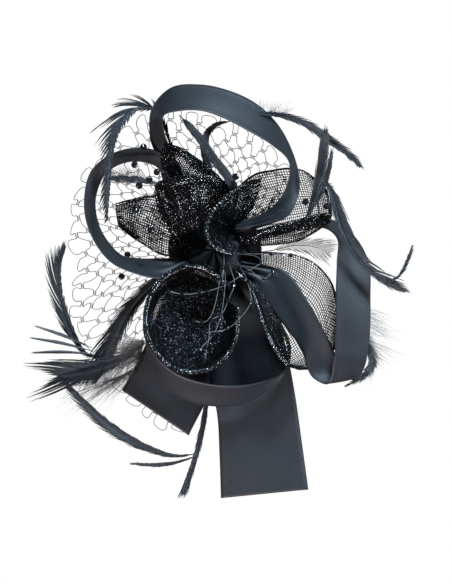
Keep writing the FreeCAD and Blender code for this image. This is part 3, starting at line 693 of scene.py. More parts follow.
# %% [markdown]
# The rim of each petal is rolled and sewn down. The roll is the same straw wound on the bias, so
# its strands cross in both diagonal directions round a flattened tube that follows the rim. A
# plain tube would look like wire. A solid roll inside keeps light from showing through.

# %% Rolled rims
RIM_LEAD = 26 * MM              # a strand goes once round the roll in this length
RIM_TAPER = 12 * MM             # the roll thins out this far from its ends


def rolled_rim(name, rim, inner, half_width, half_depth, count):
    """Diagonal strands round a flattened roll along the rim; `inner` points into the petal."""
    steps = max(int(length_of(rim) / (0.9 * MM)), 12)
    both = smooth(np.concatenate([rim, inner], axis=1), steps)
    line = both[:, :3]
    along = unit(np.gradient(line, axis=0))
    inward = both[:, 3:] - along * (both[:, 3:] * along).sum(-1, keepdims=True)
    inward = unit(inward)
    face = np.cross(along, inward)
    middle = line + inward * half_width * 0.7
    travelled = np.concatenate([[0], np.cumsum(np.linalg.norm(np.diff(line, axis=0), axis=1))])
    from_end = np.minimum(travelled, travelled[-1] - travelled)
    narrow = np.clip(from_end / RIM_TAPER + 0.45, 0, 1)[:, None]
    paths = []
    across = []
    for way in (1, -1):
        for k in range(count):
            turn = (2 * math.pi * (k / count + way * travelled / RIM_LEAD))[:, None]
            swell = 1 + 0.04 * way * np.cos(turn * 3)
            radial = inward * np.cos(turn) * half_width + face * np.sin(turn) * half_depth
            paths.append(middle + radial * swell * narrow)
            across.append(np.cross(unit(radial), along))
    braid = strands(np.array(paths), np.array(across), STRAND_HALF_WIDTH * 1.1, STRAND_HALF_DEPTH)
    roll = strands(middle[None], inward[None], (half_width * 0.74 * narrow[:, 0])[None],
                   (half_depth * 0.7 * narrow[:, 0])[None], corners=10)
    make_piece(name, [braid, roll], HEM, ())


def rim_of(grid, side):
    """The points of one edge of a fine grid, and the direction from it into the petal."""
    edges = {"first column": (grid[:, 0], grid[:, 4]), "last column": (grid[:, -1], grid[:, -5]),
             "last row": (grid[-1], grid[-5])}
    rim, within = edges[side]
    return rim, unit(within - rim)


print("a strand of a rim turns once in %.0f mm" % (RIM_LEAD / MM))

# %% [markdown]
# Each petal was cut, wetted and curled by hand, so no two agree, and each has its own small grid
# of points. A row is one step from the foot to the rim. In the curl round the dark centre the
# first column is the rim and each row is one step round the curl. Only the big cup is regular
# enough for a formula: ovals of growing size, each open at the same side.

# %% Petal shapes
PETAL_TOP = [
    [(-14, 14, 17.5), (-11, 16, 19), (-6, 17, 20), (0, 16, 19), (5, 14, 17.5)],
    [(-32, 46, 25), (-24, 48, 31), (-14, 48, 34), (-2, 46, 31), (9, 41, 25)],
    [(-37, 60, 29), (-31, 63, 34), (-22, 62, 36), (-12, 59, 33), (-2, 54, 28)],
    [(-36, 68, 33), (-32, 70, 36), (-27, 70, 38), (-22, 68, 36), (-17, 65, 32)]]
PETAL_UPPER_LEFT = [
    [(-16, -1, 18), (-12, 2, 22), (-8, 4, 24), (-5, 6, 22), (-3, 8, 18)],
    [(-30, 12, 22), (-22, 14, 32), (-14, 16, 35), (-8, 18, 30), (-6, 18, 20)],
    [(-38, 28, 24), (-30, 30, 36), (-18, 32, 41), (-4, 32, 38), (2, 30, 26)],
    [(-41, 44, 26), (-33, 47, 38), (-17, 49, 44), (0, 48, 42), (12, 42, 32)]]
PETAL_LEFT = [
    [(-15, -2, 17), (-15, 3, 18), (-14, 8, 18), (-12, 13, 17)],
    [(-34, -4, 15), (-33, 6, 19), (-31, 17, 20), (-28, 28, 17)],
    [(-52, 6, 13), (-51, 14, 18), (-48, 26, 20), (-43, 37, 17)],
    [(-60, 11.5, 13), (-60, 18, 17), (-59, 28, 18), (-57, 34.5, 16)],
    [(-66, 16, 14), (-67, 21, 15), (-68, 27, 15), (-68, 32, 14)]]
PETAL_UPPER_RIGHT = [
    [(6, 18, 19), (10, 17, 17.5), (14, 14, 17.5), (18, 4, 22), (22, 9, 32)],
    [(20, 47, 15), (27, 36, 13), (33, 24, 15), (36, 3, 30), (38, 15, 40)],
    [(40, 55, 12), (45, 42, 10.5), (51, 28, 13), (56, 6, 34), (57, 20, 42)],
    [(59, 55, 12), (63, 42, 10.5), (66, 30, 15), (68, 12, 34), (69, 23, 42)],
    [(76, 42, 15), (78, 36, 15), (79, 30, 18), (78, 19, 33), (79, 25, 38)]]
PETAL_LOWER_RIGHT = [
    [(10, -12, 26), (14, -14, 19), (17, -11, 17), (18, -6, 18), (18, -3, 22)],
    [(24, -27, 42), (30, -30, 28), (38, -22, 19), (44, -10, 19), (44, -2, 24)],
    [(31, -46, 46), (38, -50, 30), (50, -40, 19), (62, -20, 20), (64, -7, 26)],
    [(38, -63, 47), (45, -66, 32), (60, -54, 20), (74, -32, 21), (78, -20, 26)],
    [(46, -75, 46), (52, -77, 34), (66, -68, 22), (78, -50, 22), (83, -36, 25)],
    [(54, -80, 42), (58, -81, 32), (68, -80, 23), (79, -72, 22), (84, -60, 24)]]
# Ovals of the cup from the root to the rim: middle, half width, half length and height.
CUP_RINGS = [((-6, -15), 6, 6, 17.5), ((-12, -41), 22, 25, 27), ((-14, -46), 29, 32, 37),
             ((-15, -47), 32, 36, 48)]
PETAL_CENTRE_CURL = [
    [(31, 49, 27), (29, 40, 24), (26, 30, 21), (17, 20, 17.5)],
    [(16, 42, 43), (17, 34, 35), (17, 25, 27), (15, 19, 17.5)],
    [(5, 33, 48), (8, 27, 41), (11, 21, 30), (12, 16, 17.5)],
    [(-4, 23, 50), (1, 20, 42), (6, 16, 31), (9, 13, 17.5)],
    [(-7, 13, 50), (-1, 12, 42), (5, 11, 31), (8, 9, 17.5)],
    [(-4, 5, 49), (1, 6, 41), (6, 7, 31), (9, 6, 17.5)],
    [(3, -1, 46), (6, 1, 39), (9, 3, 30), (11, 4, 17.5)],
    [(13, -4, 42), (14, -1, 37), (14, 2, 29), (14, 3, 17.5)]]


CUP_START = 50                  # degrees, where the cup's cloth begins and how far it goes round
CUP_SWEEP = 325


def cup_grid():
    angles = np.radians(CUP_START + CUP_SWEEP * np.arange(9) / 8)
    return [[(x + a * math.cos(angle), y + b * math.sin(angle), z) for angle in angles]
            for (x, y), a, b, z in CUP_RINGS]


print("the cup's rim is %.0f mm across" % (2 * CUP_RINGS[-1][1]))

# %% [markdown]
# Now the seven petals are woven. The two on the right are single cloth that light passes
# through, and the rest are doubled. A broad roll is the turned-over front of a petal, and a thin
# one is only its hem. Each rim says its side, its half width and half depth in mm, and how many
# strands run each way round it.

# %% Petals
PETALS = {
    "petal_top": (PETAL_TOP, 2, [("last row", 1.3, 0.9, 6), ("last column", 1.2, 0.8, 6)]),
    "petal_upper_left": (PETAL_UPPER_LEFT, 2, [("last row", 3.0, 1.2, 10),
                                               ("first column", 2.4, 1.1, 8)]),
    "petal_left": (PETAL_LEFT, 2, [("first column", 0.5, 0.35, 5), ("last column", 0.9, 0.5, 6)]),
    "petal_upper_right": (PETAL_UPPER_RIGHT, 1, [("last column", 3.2, 1.4, 11),
                                                 ("last row", 0.8, 0.5, 6),
                                                 ("first column", 0.6, 0.4, 5)]),
    "petal_lower_right": (PETAL_LOWER_RIGHT, 1, [("first column", 3.6, 1.5, 12),
                                                 ("last row", 0.8, 0.5, 6),
                                                 ("last column", 0.6, 0.4, 5)]),
    "petal_cup": (cup_grid(), 2, [("last row", 4.0, 1.6, 13)]),
    "petal_centre_curl": (PETAL_CENTRE_CURL, 2, [("first column", 2.2, 1.0, 10)])}

for name, (grid, layers, rims) in PETALS.items():
    fine = petal(name, grid, layers)
    for side, half_width, half_depth, count in rims:
        rim, inner = rim_of(fine, side)
        rolled_rim(name + "_rim_" + side.replace(" ", "_"), rim, inner, half_width * MM,
                   half_depth * MM, count)

# %% [markdown]
# The veil is machine-made net. Its knots are little ladders: two threads side by side, tied
# across by short rungs. A picture of net on a flat sheet would show neither its thickness nor
# the loops of its edge, so the threads are made. First the knots are laid out on a fan, in rows
# from the scalloped edge to the root, each row half a step along from the last.

# %% Knots of the net
VEIL_EDGE = [(38, 30), (50, 44), (44, 62), (30, 73), (14, 82), (-4, 89), (-24, 92), (-46, 89),
             (-65, 75), (-84, 54), (-96, 32), (-97, 14), (-91, -6), (-93, -27), (-95, -45),
             (-86, -68), (-70, -94), (-60, -100), (-47, -111), (-33, -120), (-19, -127)]
VEIL_ROOT = [(12, 10), (6, 17), (-3, 19), (-11, 15), (-17, 8), (-18, 0), (-16, -9), (-10, -15),
             (-3, -18)]
VEIL_Z = 4.1                    # mm, between the felt and the roots
VEIL_COLUMNS = 33
VEIL_ROWS = 13
NET_RADIUS = 0.28 * MM
KNOT_SLACK = 0.16               # how far a knot strays, as a share of the step between knots


def veil_point(place, depth, edge, root):
    """A point on the fan: place runs along the edge, depth from the edge (0) to the root (1)."""
    x, y = edge[place] * (1 - depth) + root[place] * depth
    far = math.hypot(x, y)
    rise = 0 if far < 34 else 0.9 * math.sin(x / 9 + y / 13) - 0.3
    return np.array([x, y, VEIL_Z + rise])


def quarter_turn(step):
    return np.array([-step[1], step[0], 0])


def net_knots():
    """Each knot's middle, its half length and its half width, by row and place."""
    count = 2 * VEIL_COLUMNS + 1
    edge = smooth(VEIL_EDGE, count)
    root = smooth(VEIL_ROOT, count)
    knots = {}
    for row in range(VEIL_ROWS):
        depth = 0.045 + 0.93 * (row / (VEIL_ROWS - 1)) ** 0.92
        for place in range(row % 2, count, 2):
            middle = veil_point(place, depth, edge, root)
            beside = veil_point(min(place + 1, count - 1), depth, edge, root)
            behind = veil_point(max(place - 1, 0), depth, edge, root)
            step = (beside - behind) / 2
            along = step / np.linalg.norm(step)
            inward = quarter_turn(along)
            if np.dot(inward[:2], root[place] - edge[place]) < 0:
                inward = -inward
            slack = np.linalg.norm(step) * KNOT_SLACK
            middle = middle + rng.normal(0, 1, 3) * (slack, slack, 0.05)
            tilt = rng.normal(0, 0.25)
            along = along * math.cos(tilt) + inward * math.sin(tilt)
            turned_in = quarter_turn(along)
            inward = turned_in if np.dot(turned_in, inward) > 0 else -turned_in
            half = min(2.0, np.linalg.norm(step) * 0.36)
            knots[row, place] = (middle, along * half, inward * min(0.95, half * 0.5))
    return knots, count


net_layout = net_knots()
print("knots in the net:", len(net_layout[0]))

# %% [markdown]
# Then every thread is drawn between the knots' corners. Threads between knots are a little
# bowed, because the net isn't pulled tight. The outer edge ends in round loops of three sizes.

# %% Threads of the net


def bowed(start, end, bow, count=7):
    """A thread with a slight bow, as cut net never lies straight."""
    t = np.linspace(0, 1, count)[:, None]
    run = end - start
    side = np.array([-run[1], run[0], 0])
    return start * (1 - t) + end * t + side * bow * np.sin(math.pi * t)


def edge_loop(first, second, outward, reach, count=13):
    """One round loop of the scalloped edge, from one knot to the next."""
    t = np.linspace(0, 1, count)[:, None]
    swell = np.sin(math.pi * t)
    base = first * (1 - t) + second * t
    chord = second - first
    wide = np.sin(2 * math.pi * t) * -0.28
    return base + outward * reach * swell ** 0.8 + chord * wide


LADDER_RUNGS = (-0.66, -0.22, 0.22, 0.66)
LOOP_REACHES = [3.5, 6.0, 7.5]


def veil_threads(knots, count):
    lines = []
    for (row, place), (middle, along, inward) in knots.items():
        for side in (-1, 1):
            lines.append([middle - along + inward * side, middle + inward * side * 0.8,
                          middle + along + inward * side])
            below = knots.get((row + 1, place + side))
            if below:
                target, their_along, their_inward = below
                start = middle + along * side + inward
                end = target - their_along * side - their_inward
                lines.append(bowed(start, end, rng.normal(0, 0.09)))
        for rung in LADDER_RUNGS:
            lines.append([middle + along * rung - inward, middle + along * (rung + 0.06),
                          middle + along * rung + inward])
    for place in range(0, count - 2, 2):
        middle, along, inward = knots[0, place]
        other, their_along, their_inward = knots[0, place + 2]
        outward = -(inward + their_inward) / np.linalg.norm(inward + their_inward)
        reach = rng.choice(LOOP_REACHES)
        lines.append(edge_loop(middle + along - inward, other - their_along - their_inward,
                               outward, reach))
    return [np.array(line) * MM for line in lines]


net_lines = veil_threads(*net_layout)
make_piece("veil_net", [thread(line, NET_RADIUS, 4) for line in net_lines], NET, ["veil_net"])

# %% [markdown]
# A feather is a quill with barbs on both sides. The barbs leave it at a narrow angle and lie
# side by side, so that from afar they make one dark vane, and at the edge they part into
# points. Each barb is a flat tapered strand. Its tip is set a little further along the quill
# than its root, at the vane's edge there, so it follows the feather's bend. Barbs are taken in
# small clumps whose tips draw together. Hair particles could be used, but they follow no bend
# and don't export, so the barbs are a mesh. `lean` puts the quill towards one side of the vane.

# %% Feather maker
BARB_PITCH = 0.34 * MM
BARB_HALF_WIDTH = 0.24 * MM
BARB_HALF_DEPTH = 0.03 * MM
BARB_RINGS = 6
BARB_TAPER = np.array([1.0, 1.0, 1.0, 0.9, 0.62, 0.16])
FEATHER_STEPS = 160


def along_path(path, places):
    """Points of a fine path at fractions from 0 to 1, and further, straight on past its end."""
    steps = np.clip(places, 0, 1) * (len(path) - 1)
    low = np.minimum(steps.astype(int), len(path) - 2)
    share = (steps - low)[..., None]
    points = path[low] * (1 - share) + path[low + 1] * share
    beyond = np.maximum(places - 1, 0)[..., None]
    return points + unit(path[-1] - path[-4]) * beyond * length_of(path)


def barbs(roots, tips, sag, half_width, across, pull=0.0):
    """Flat tapered strands from roots to tips, bowed by `sag`; `pull` moves their outer part."""
    t = np.linspace(0, 1, BARB_RINGS)[None, :, None]
    pull = np.broadcast_to(pull, roots.shape)[:, None]
    straight = roots[:, None] * (1 - t) + tips[:, None] * t
    paths = straight + sag[:, None] * 4 * t * (1 - t) + pull * t**2.5
    taper = half_width * BARB_TAPER
    return strands(paths, across[:, None], taper, np.minimum(BARB_HALF_DEPTH, taper), corners=3)


def clumps(places, whole, size):
    """Shares the barbs out into clumps of uneven length; gives each barb's clump and its middle."""
    lengths = size * MM / whole * rng.uniform(0.6, 1.4, int(whole / (size * MM)) * 2 + 4)
    edges = places[0] + np.concatenate([[0], np.cumsum(lengths)])
    which = np.searchsorted(edges, places, side="right") - 1
    return which, (edges[which] + edges[which + 1]) / 2


def feather(name, centre_line, half_widths, lean=0.0, clump=2.2, ragged=0.5, angle=24, fuzz=0.0,
            thin=1.0, finish=FEATHER, bare=0.03, long=1.0, quill=0.45):
    """
    One feather along a centre line, with the vane's half width in mm at each of its points.
    lean: where the quill lies, from 0, the middle, to 1 or -1, the vane's edge
    clump: length of a clump of barbs in mm; ragged: 0, smooth edge, to 1, deep spikes
    angle: degrees between barb and quill; fuzz: 0, neat, to 1, loose; thin: gaps between barbs
    bare: share of the quill with no barbs; long: barbs longer than the vane; quill: its radius
    """
    line = np.array(centre_line, float)
    stations = np.concatenate([line, np.array(half_widths, float)[:, None]], axis=1)
    fine = smooth(stations * MM, FEATHER_STEPS)
    spine = fine[:, :3]
    half = np.maximum(fine[:, 3], 0.1 * MM)
    whole = length_of(spine)
    along = unit(np.gradient(spine, axis=0))
    side = unit(np.stack([-along[:, 1], along[:, 0], np.zeros(len(along))], axis=1))
    spine = spine - side * (half * lean)[:, None]
    surfaces = []
    places = np.arange(bare, 0.985, BARB_PITCH * thin / whole)
    for way in (1, -1):
        vane = np.interp(places, np.linspace(0, 1, FEATHER_STEPS), half)
        reach = vane * (1 + way * lean) * long
        which, middle = clumps(places, whole, clump)
        own = rng.normal(1, 0.16 * ragged, which.max() + 1)[which]
        reach = reach * own * (1 + rng.normal(0, 0.03 + 0.12 * fuzz, len(places)))
        ahead = reach / math.tan(math.radians(angle)) / whole
        roots = along_path(spine, places)
        tip_place = places + ahead
        tips = along_path(spine, tip_place)
        tips = tips + unit(along_path(side, np.clip(tip_place, 0, 1))) * (way * reach)[:, None]
        point_place = middle + ahead * (1 + 0.1 * ragged)
        point = along_path(spine, point_place)
        point = point + unit(along_path(side, np.clip(point_place, 0, 1))) * (way * reach)[:, None]
        pull = (point - tips) * min(ragged, 0.95)
        tips = tips + rng.normal(0, 1, tips.shape) * (0.05 + 0.8 * fuzz) * MM
        tips[:, 2] += rng.normal(0, 0.12 + 0.5 * fuzz, len(places)) * MM - reach * 0.06
        bend = unit(along_path(side, places)) * (way * reach * 0.1)[:, None]
        bend[:, 2] += reach * 0.08
        flat = np.cross(unit(tips - roots), (0, 0, 1.0))
        surfaces.append(barbs(roots, tips, bend, BARB_HALF_WIDTH * (1 - 0.45 * fuzz), flat, pull))
    taper = np.linspace(1, 0.18, FEATHER_STEPS) * quill * MM
    surfaces.append(strands(spine[None], side[None], taper[None], (taper * 0.7)[None], corners=6))
    make_piece(name, surfaces, finish, [name])


print("a feather 100 mm long has about", 2 * round(100 * MM / BARB_PITCH), "barbs")

# %% [markdown]
# The feathers curve through these points, in the order from the foot to the tip. The dark left
# ones are cut at the edge and look spiky. The ones inside the loops are soft and curled. Each
# has its own manner, because one manner for all would look like copies of a single feather.

# %% Feathers
FEATHERS = {
    "feather_arch": (
        [(-14, 15, 5.2), (-27, 58, 7.5), (-36, 90, 12), (-42, 100, 16), (-52, 101, 22),
         (-60, 96, 30), (-66, 86, 36), (-70, 73, 40), (-72, 58, 42), (-73, 40, 42), (-73, 17, 41)],
        [0.6, 0.6, 2.6, 5.4, 6.4, 5.6, 4.4, 3.4, 2.8, 2.2, 0.5],
        dict(lean=-0.6, clump=4.4, ragged=0.95, angle=27, long=1.2, bare=0.27)),
    "feather_top_right": (
        [(27, 92, 27.5), (44, 92, 24), (62, 86, 23), (77, 75, 22), (90, 66, 23), (99, 56, 23)],
        [0.8, 2, 2.4, 2.2, 1.8, 0.4], dict(lean=0.3, clump=3.4, ragged=0.85, angle=17, long=1.35)),
    "feather_spike": (
        [(60, 15, 27), (65, 28, 29), (69, 40, 31), (73, 60, 34), (75, 81, 34)],
        [0.8, 2.2, 2.4, 1.8, 0.4], dict(clump=4.5, ragged=0.5, angle=9, long=1.5)),
    "feather_spike_short": (
        [(66, 27, 29.2), (73, 40, 33), (77, 54, 37), (79, 66, 38)],
        [0.5, 1.4, 1.2, 0.4], dict(clump=4.5, ragged=0.6, angle=9, long=1.2)),
    "feather_sweep_right": (
        [(70, 23, 42.2), (70, 42, 45), (75, 47, 46), (80, 36, 47), (86, 14, 48), (96, -4, 49),
         (110, -18, 48), (129, -29, 46)],
        [0.5, 1.4, 3, 3.2, 2.6, 2.6, 2.6, 0.4],
        dict(lean=0.25, clump=3.6, ragged=0.9, angle=15, long=1.3)),
    "feather_curled_tip": (
        [(115, -22, 48.4), (124, -18, 49), (129, -9, 48), (133, 3, 48)],
        [0.6, 1.2, 1.4, 0.3], dict(lean=-0.3, clump=4.0, ragged=0.9, angle=16)),
    "feather_hook_right": (
        [(92, -46, 38.4), (102, -64, 30), (108, -75, 25), (104, -83, 23), (88, -93, 22)],
        [0.8, 3, 3, 2.2, 0.4], dict(clump=2.5, ragged=0.5, angle=22, fuzz=0.4)),
    "feather_dark_left": (
        [(-18, -8, 6.4), (-30, -14, 6.6), (-44, -23, 7.2), (-58, -37, 8), (-69, -57, 9),
         (-77, -77, 10), (-83, -92, 10)],
        [1.2, 3, 5, 6.4, 6.4, 4.5, 0.6],
        dict(lean=-0.45, clump=2.6, ragged=0.9, angle=22, long=1.05, finish=DARK_FEATHER)),
    "feather_rising_left": (
        [(-17, -12, 7), (-33, -40, 7.6), (-50, -66, 8.6), (-70, -71, 9), (-88, -72, 9.5),
         (-99, -58, 10), (-106, -42, 11), (-109, -27, 12), (-108, -12, 12), (-101.5, 5, 12)],
        [0.6, 0.6, 0.8, 1, 2, 4.4, 5.6, 4.6, 2.8, 0.4],
        dict(lean=0.6, clump=1.9, ragged=0.85, angle=20, bare=0.44, long=1.05)),
    "feather_long_bottom": (
        [(-14, -140, 8), (-28, -141, 8), (-44, -137, 8.5), (-61, -129, 9), (-78, -116, 9.5),
         (-92, -102, 10), (-105, -87, 10)],
        [0.6, 1.6, 3, 3.6, 3, 2, 0.4], dict(lean=0.45, clump=2.2, ragged=0.75, angle=17, long=1.1)),
    "feather_quill_bottom": (
        [(-6, -18, 9), (-6, -60, 9), (-6, -104, 9), (-10, -128, 8.5), (-12, -138, 8),
         (-17, -153, 8), (-22, -168, 8)],
        [0.8, 1, 1.6, 1.8, 1.6, 2, 0.4],
        dict(clump=4.0, ragged=0.7, angle=11, quill=0.8, long=1.2)),
    "feather_split_bottom": (
        [(-13, -141, 8), (-30, -146, 8), (-44, -147, 8), (-58, -146, 8)],
        [0.4, 1.4, 1.2, 0.3], dict(clump=4.0, ragged=0.8, angle=12)),
    "feather_fan_left": (
        [(-52, -67, 9), (-70, -77, 11), (-90, -83, 13), (-108, -86, 13)],
        [1, 5, 6, 0.6],
        dict(clump=4.4, ragged=0.95, angle=18, fuzz=0.12, long=1.7, bare=0.02,
             finish=DARK_FEATHER)),
    "feather_small_left": (
        [(-36, 44, 30), (-50, 47, 30), (-62, 48, 30), (-71, 49, 30)],
        [0.6, 2.6, 2.4, 0.4], dict(lean=0.2, clump=2.0, ragged=0.3, angle=24, fuzz=0.3)),
    "feather_curl_inner": (
        [(-24, 91, 32), (-10, 75, 34), (0, 60, 38), (8, 50, 41), (14, 38, 40), (12, 27, 33),
         (8, 16, 18)],
        [2.4, 3, 3, 3, 2, 1.2, 1], dict(clump=3.0, ragged=0.2, angle=20)),
    "feather_hook_inner": (
        [(10, 87, 30), (1, 85, 30), (-6, 78, 29), (-7, 66, 29), (-3, 53, 28)],
        [0.6, 2, 2.8, 2.6, 1.2], dict(clump=2.5, ragged=0.3, angle=22)),
    "feather_right_inner": (
        [(20, -3, 12), (40, 0, 15), (54, 3, 16), (68, 2, 16), (79, -2, 16)],
        [0.8, 1, 4, 5, 0.6],
        dict(clump=3.0, ragged=0.6, angle=30, fuzz=0.3, thin=3.2, long=1.6, bare=0.35))}

for name, (centre_line, half_widths, manner) in FEATHERS.items():
    feather(name, centre_line, half_widths, **manner)

# %% [markdown]
# Down has no hooks to hold its barbs together, so it is a loose fan of fine hairs. A fan runs
# from one line of roots to one line of tips, with scatter, and each hair is bowed its own way.
# It uses the same flat strands as the barbs, only thinner, so that it takes the light alike.

# %% Down and loose hairs
def hair_fan(roots, tips, count, scatter, half_width=0.075, bow=2.5):
    """Fine hairs from a line of roots to a line of tips, both given as points in mm."""
    start = smooth(np.array(roots, float), 64)
    end = smooth(np.array(tips, float), 64)
    place = rng.uniform(0, 1, count)
    other = np.clip(place + rng.normal(0, 0.12, count), 0, 1)
    first = start[(place * 63).astype(int)] + rng.normal(0, 0.5, (count, 3)) * (1, 1, 0.4)
    last = end[(other * 63).astype(int)] + rng.normal(0, scatter, (count, 3)) * (1, 1, 0.3)
    last = first + (last - first) * rng.uniform(0.55, 1.05, (count, 1))
    run = last - first
    side = unit(np.stack([-run[:, 1], run[:, 0], 0 * run[:, 0]], axis=1))
    sag = side * rng.normal(0, bow * 0.25, (count, 1))
    return barbs(first * MM, last * MM, sag * MM, half_width * MM, side)


FINE_HAIR = 0.06
FLUFF = {
    "down_tuft_left": (DOWN, "down", [
        ([(-48, -62, 9), (-50, -68, 9), (-50, -74, 9)],
         [(-72, -60, 12), (-76, -74, 12), (-66, -90, 12)], 420, 3.0),
        ([(-66, -88, 10), (-60, -84, 10), (-52, -80, 10)],
         [(-114, -94, 12), (-104, -108, 12), (-72, -104, 12)], 190, 4.0, FINE_HAIR)]),
    "feather_right_fluff": (PALE_DOWN, "feather", [
        ([(100, -36, 34), (103, -55, 31), (104, -72, 27)],
         [(118, -46, 33), (124, -66, 30), (118, -84, 26)], 120, 3.5, FINE_HAIR),
        ([(98, -50, 33), (104, -66, 29), (106, -78, 25)],
         [(108, -58, 31), (112, -78, 26), (104, -92, 24)], 260, 2.0, FINE_HAIR)]),
    "feather_top_fluff": (PALE_DOWN, "feather", [
        ([(26, 92, 27), (36, 93, 26), (46, 92, 25)],
         [(22, 101, 28), (38, 102, 27), (56, 97, 25)], 110, 2.0, FINE_HAIR)]),
    "feather_left_fluff": (FEATHER, "feather", [
        ([(-46, 47, 30), (-56, 48, 30), (-66, 49, 30)],
         [(-52, 56, 31), (-64, 58, 31), (-74, 54, 31)], 120, 2.0, FINE_HAIR),
        ([(-58, -72, 10), (-76, -78, 12), (-96, -84, 13)],
         [(-70, -100, 12), (-96, -104, 13), (-118, -92, 13)], 200, 4.0, 0.08)])}

for name, (finish, slot, fans) in FLUFF.items():
    stands_for = [name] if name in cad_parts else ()
    make_piece(name, [hair_fan(*fan) for fan in fans], finish, stands_for)

# %% [markdown]
# Three quills on the left are stripped: only the stiff shaft and very short barbs are left. The
# feather maker would need most of its settings changed for them, so they are made apart.

# %% Stripped quills
SPIKE_TIPS = [(-122, -52), (-125, -60), (-124, -70)]
SPIKE_STEPS = 60


def stripped_quills():
    surfaces = []
    for index, (x, y) in enumerate(SPIKE_TIPS):
        start_y = -67 - 2 * index
        line = [(-84, start_y, 10), ((x - 84) / 2, (start_y + y) / 2 + 1, 13), (x, y, 14)]
        spine = smooth(np.array(line, float) * MM, SPIKE_STEPS)
        along = unit(np.gradient(spine, axis=0))
        side = unit(np.stack([-along[:, 1], along[:, 0], np.zeros(SPIKE_STEPS)], axis=1))
        steps = np.linspace(0, 1, SPIKE_STEPS)
        taper = np.interp(steps, [0, 0.45, 1], [0.25, 0.42, 0.1]) * MM
        shaft = strands(spine[None], side[None], taper[None], (taper * 0.6)[None], corners=6)
        surfaces.append(shaft)
        places = np.arange(0.05, 0.95, 0.012)
        reach = np.interp(places, [0, 0.5, 1], [0.6, 1.3, 0.3]) * MM
        for way in (1, -1):
            roots = along_path(spine, places)
            out = along_path(side, places) * (way * reach)[:, None]
            tips = along_path(spine, places + 0.12) + out
            flat = np.cross(unit(tips - roots), (0, 0, 1.0))
            surfaces.append(barbs(roots, tips, 0 * roots, 0.13 * MM, flat))
    return surfaces


make_piece("feather_spikes_left", stripped_quills(), QUILL, ["feather_spikes_left"])

# %% [markdown]
# The beads are threaded on stems of stiff nylon, which hold their own shape. Each stem is a
# round thread through a few points, from the roots outward. The beads' places are given by
# themselves, because some sit close together and some alone.

# %% Stems, and where the beads go
STEM_RADIUS = 0.14 * MM
STEMS_CENTRE = [
    [(14, -2, 17), (30, -6, 40), (31, -9, 48), (21, -15, 52), (9, -23, 53), (-10, -29, 52),
     (-22, -30, 50), (-31, -28, 49.5)],
    [(8, -8, 17), (11, -14, 40), (13, -24, 50), (9, -34, 52), (4, -44, 52), (-2, -47, 51),
     (-4, -60, 50), (-7, -75, 50)],
    [(15, -8, 17), (22, -22, 40), (24, -36, 49), (17, -46, 50), (9, -53, 50), (-7, -56, 49)],
    [(3, -7, 17), (6, -4, 40), (6, -12, 52), (5, -22, 54)],
    [(18, 0, 17), (26, -3, 44), (38, -3, 48), (51, -4, 48)],
    [(12, -9, 17), (24, -14, 42), (33, -20, 50), (39, -15, 50)],
    [(6, -10, 17), (4, -19, 46), (-9, -49, 50), (-14, -48, 50)],
    [(4, -10, 17), (7, -20, 46), (-1, -57, 50), (-10, -67, 50)]]
STEMS_LEFT = [
    [(-14, 18, 17), (-28, 30, 46), (-44, 46, 47), (-54, 57, 46), (-48, 69, 45)],
    [(-10, 18, 17), (-20, 34, 47), (-35, 51, 48), (-39, 52, 48)],
    [(-16, 12, 17), (-36, 16, 44), (-51, 43, 43)],
    [(-16, 4, 17), (-34, 4, 42), (-44, 14, 36), (-54, 27, 30)]]
STEMS_RIGHT = [
    [(24, 18, 20), (44, 26, 44), (61, 32, 47), (75, 29, 48)],
    [(12, 16, 17), (12, 34, 46), (14, 49, 46)]]
BEADS_LEFT = [(-48, 69, 45), (-54, 57, 46), (-44, 47, 47), (-39, 52, 48), (-34, 51, 48),
              (-51, 43, 43), (-54, 27, 30), (-43, 13, 37)]
BEADS_CENTRE = [(31, -9, 48), (21, -15, 52), (9, -23, 53), (-10, -29, 52), (-22, -30, 50),
                (13, -24, 50), (4, -44, 52), (-2, -48, 51), (-6, -66, 50), (24, -36, 49),
                (9, -53, 50), (-7, -56, 49), (6, -12, 52), (5, -22, 54), (38, -3, 48), (51, -4, 48),
                (-31, -28, 49.5), (-5, -28.2, 52.2), (9, -34, 52), (-7, -75, 50), (22, -22, 40),
                (33, -20, 50), (39, -15, 50), (-9, -49, 50), (-14, -48, 50), (-1, -57, 50),
                (-10, -67, 50)]
BEADS_RIGHT = [(61, 32, 47), (75, 29, 48), (14, 49, 46)]
BEADS_NET = [(-60, -3, 6.6), (-64, -18, 6.6)]


def stems(name, lines, finish):
    paths = [smooth(np.array(line, float) * MM, 60) for line in lines]
    surfaces = [thread(path, STEM_RADIUS, 8) for path in paths]
    make_piece(name, surfaces, finish, [name])
    return paths


paths_centre = stems("bead_stems_centre", STEMS_CENTRE, STEM_PAINTED_SHINE)
paths_left = stems("bead_stems_left", STEMS_LEFT, DARK_STEM)
paths_right = stems("bead_stems_right", STEMS_RIGHT, DARK_STEM)

# %% [markdown]
# A bead is round with a bored hole and is cut into small flats, so that each one catches the
# light by itself. An icosphere has flats but no hole. So the bead's profile is turned round its
# hole, with every second ring shifted by half a flat, and it is not smoothed. Each bead is lined
# up with the stem that passes through it.

# %% Beads
LARGE_BEAD = 4.8 * MM
SMALL_BEAD = 3.2 * MM
BEAD_FLATS = 12
BEAD_HEIGHTS = [-0.9, -0.86, -0.55, 0.0, 0.55, 0.86, 0.9]     # in shares of the radius
BEAD_WIDTHS = [0.2, 0.48, 0.84, 1.0, 0.84, 0.48, 0.2]


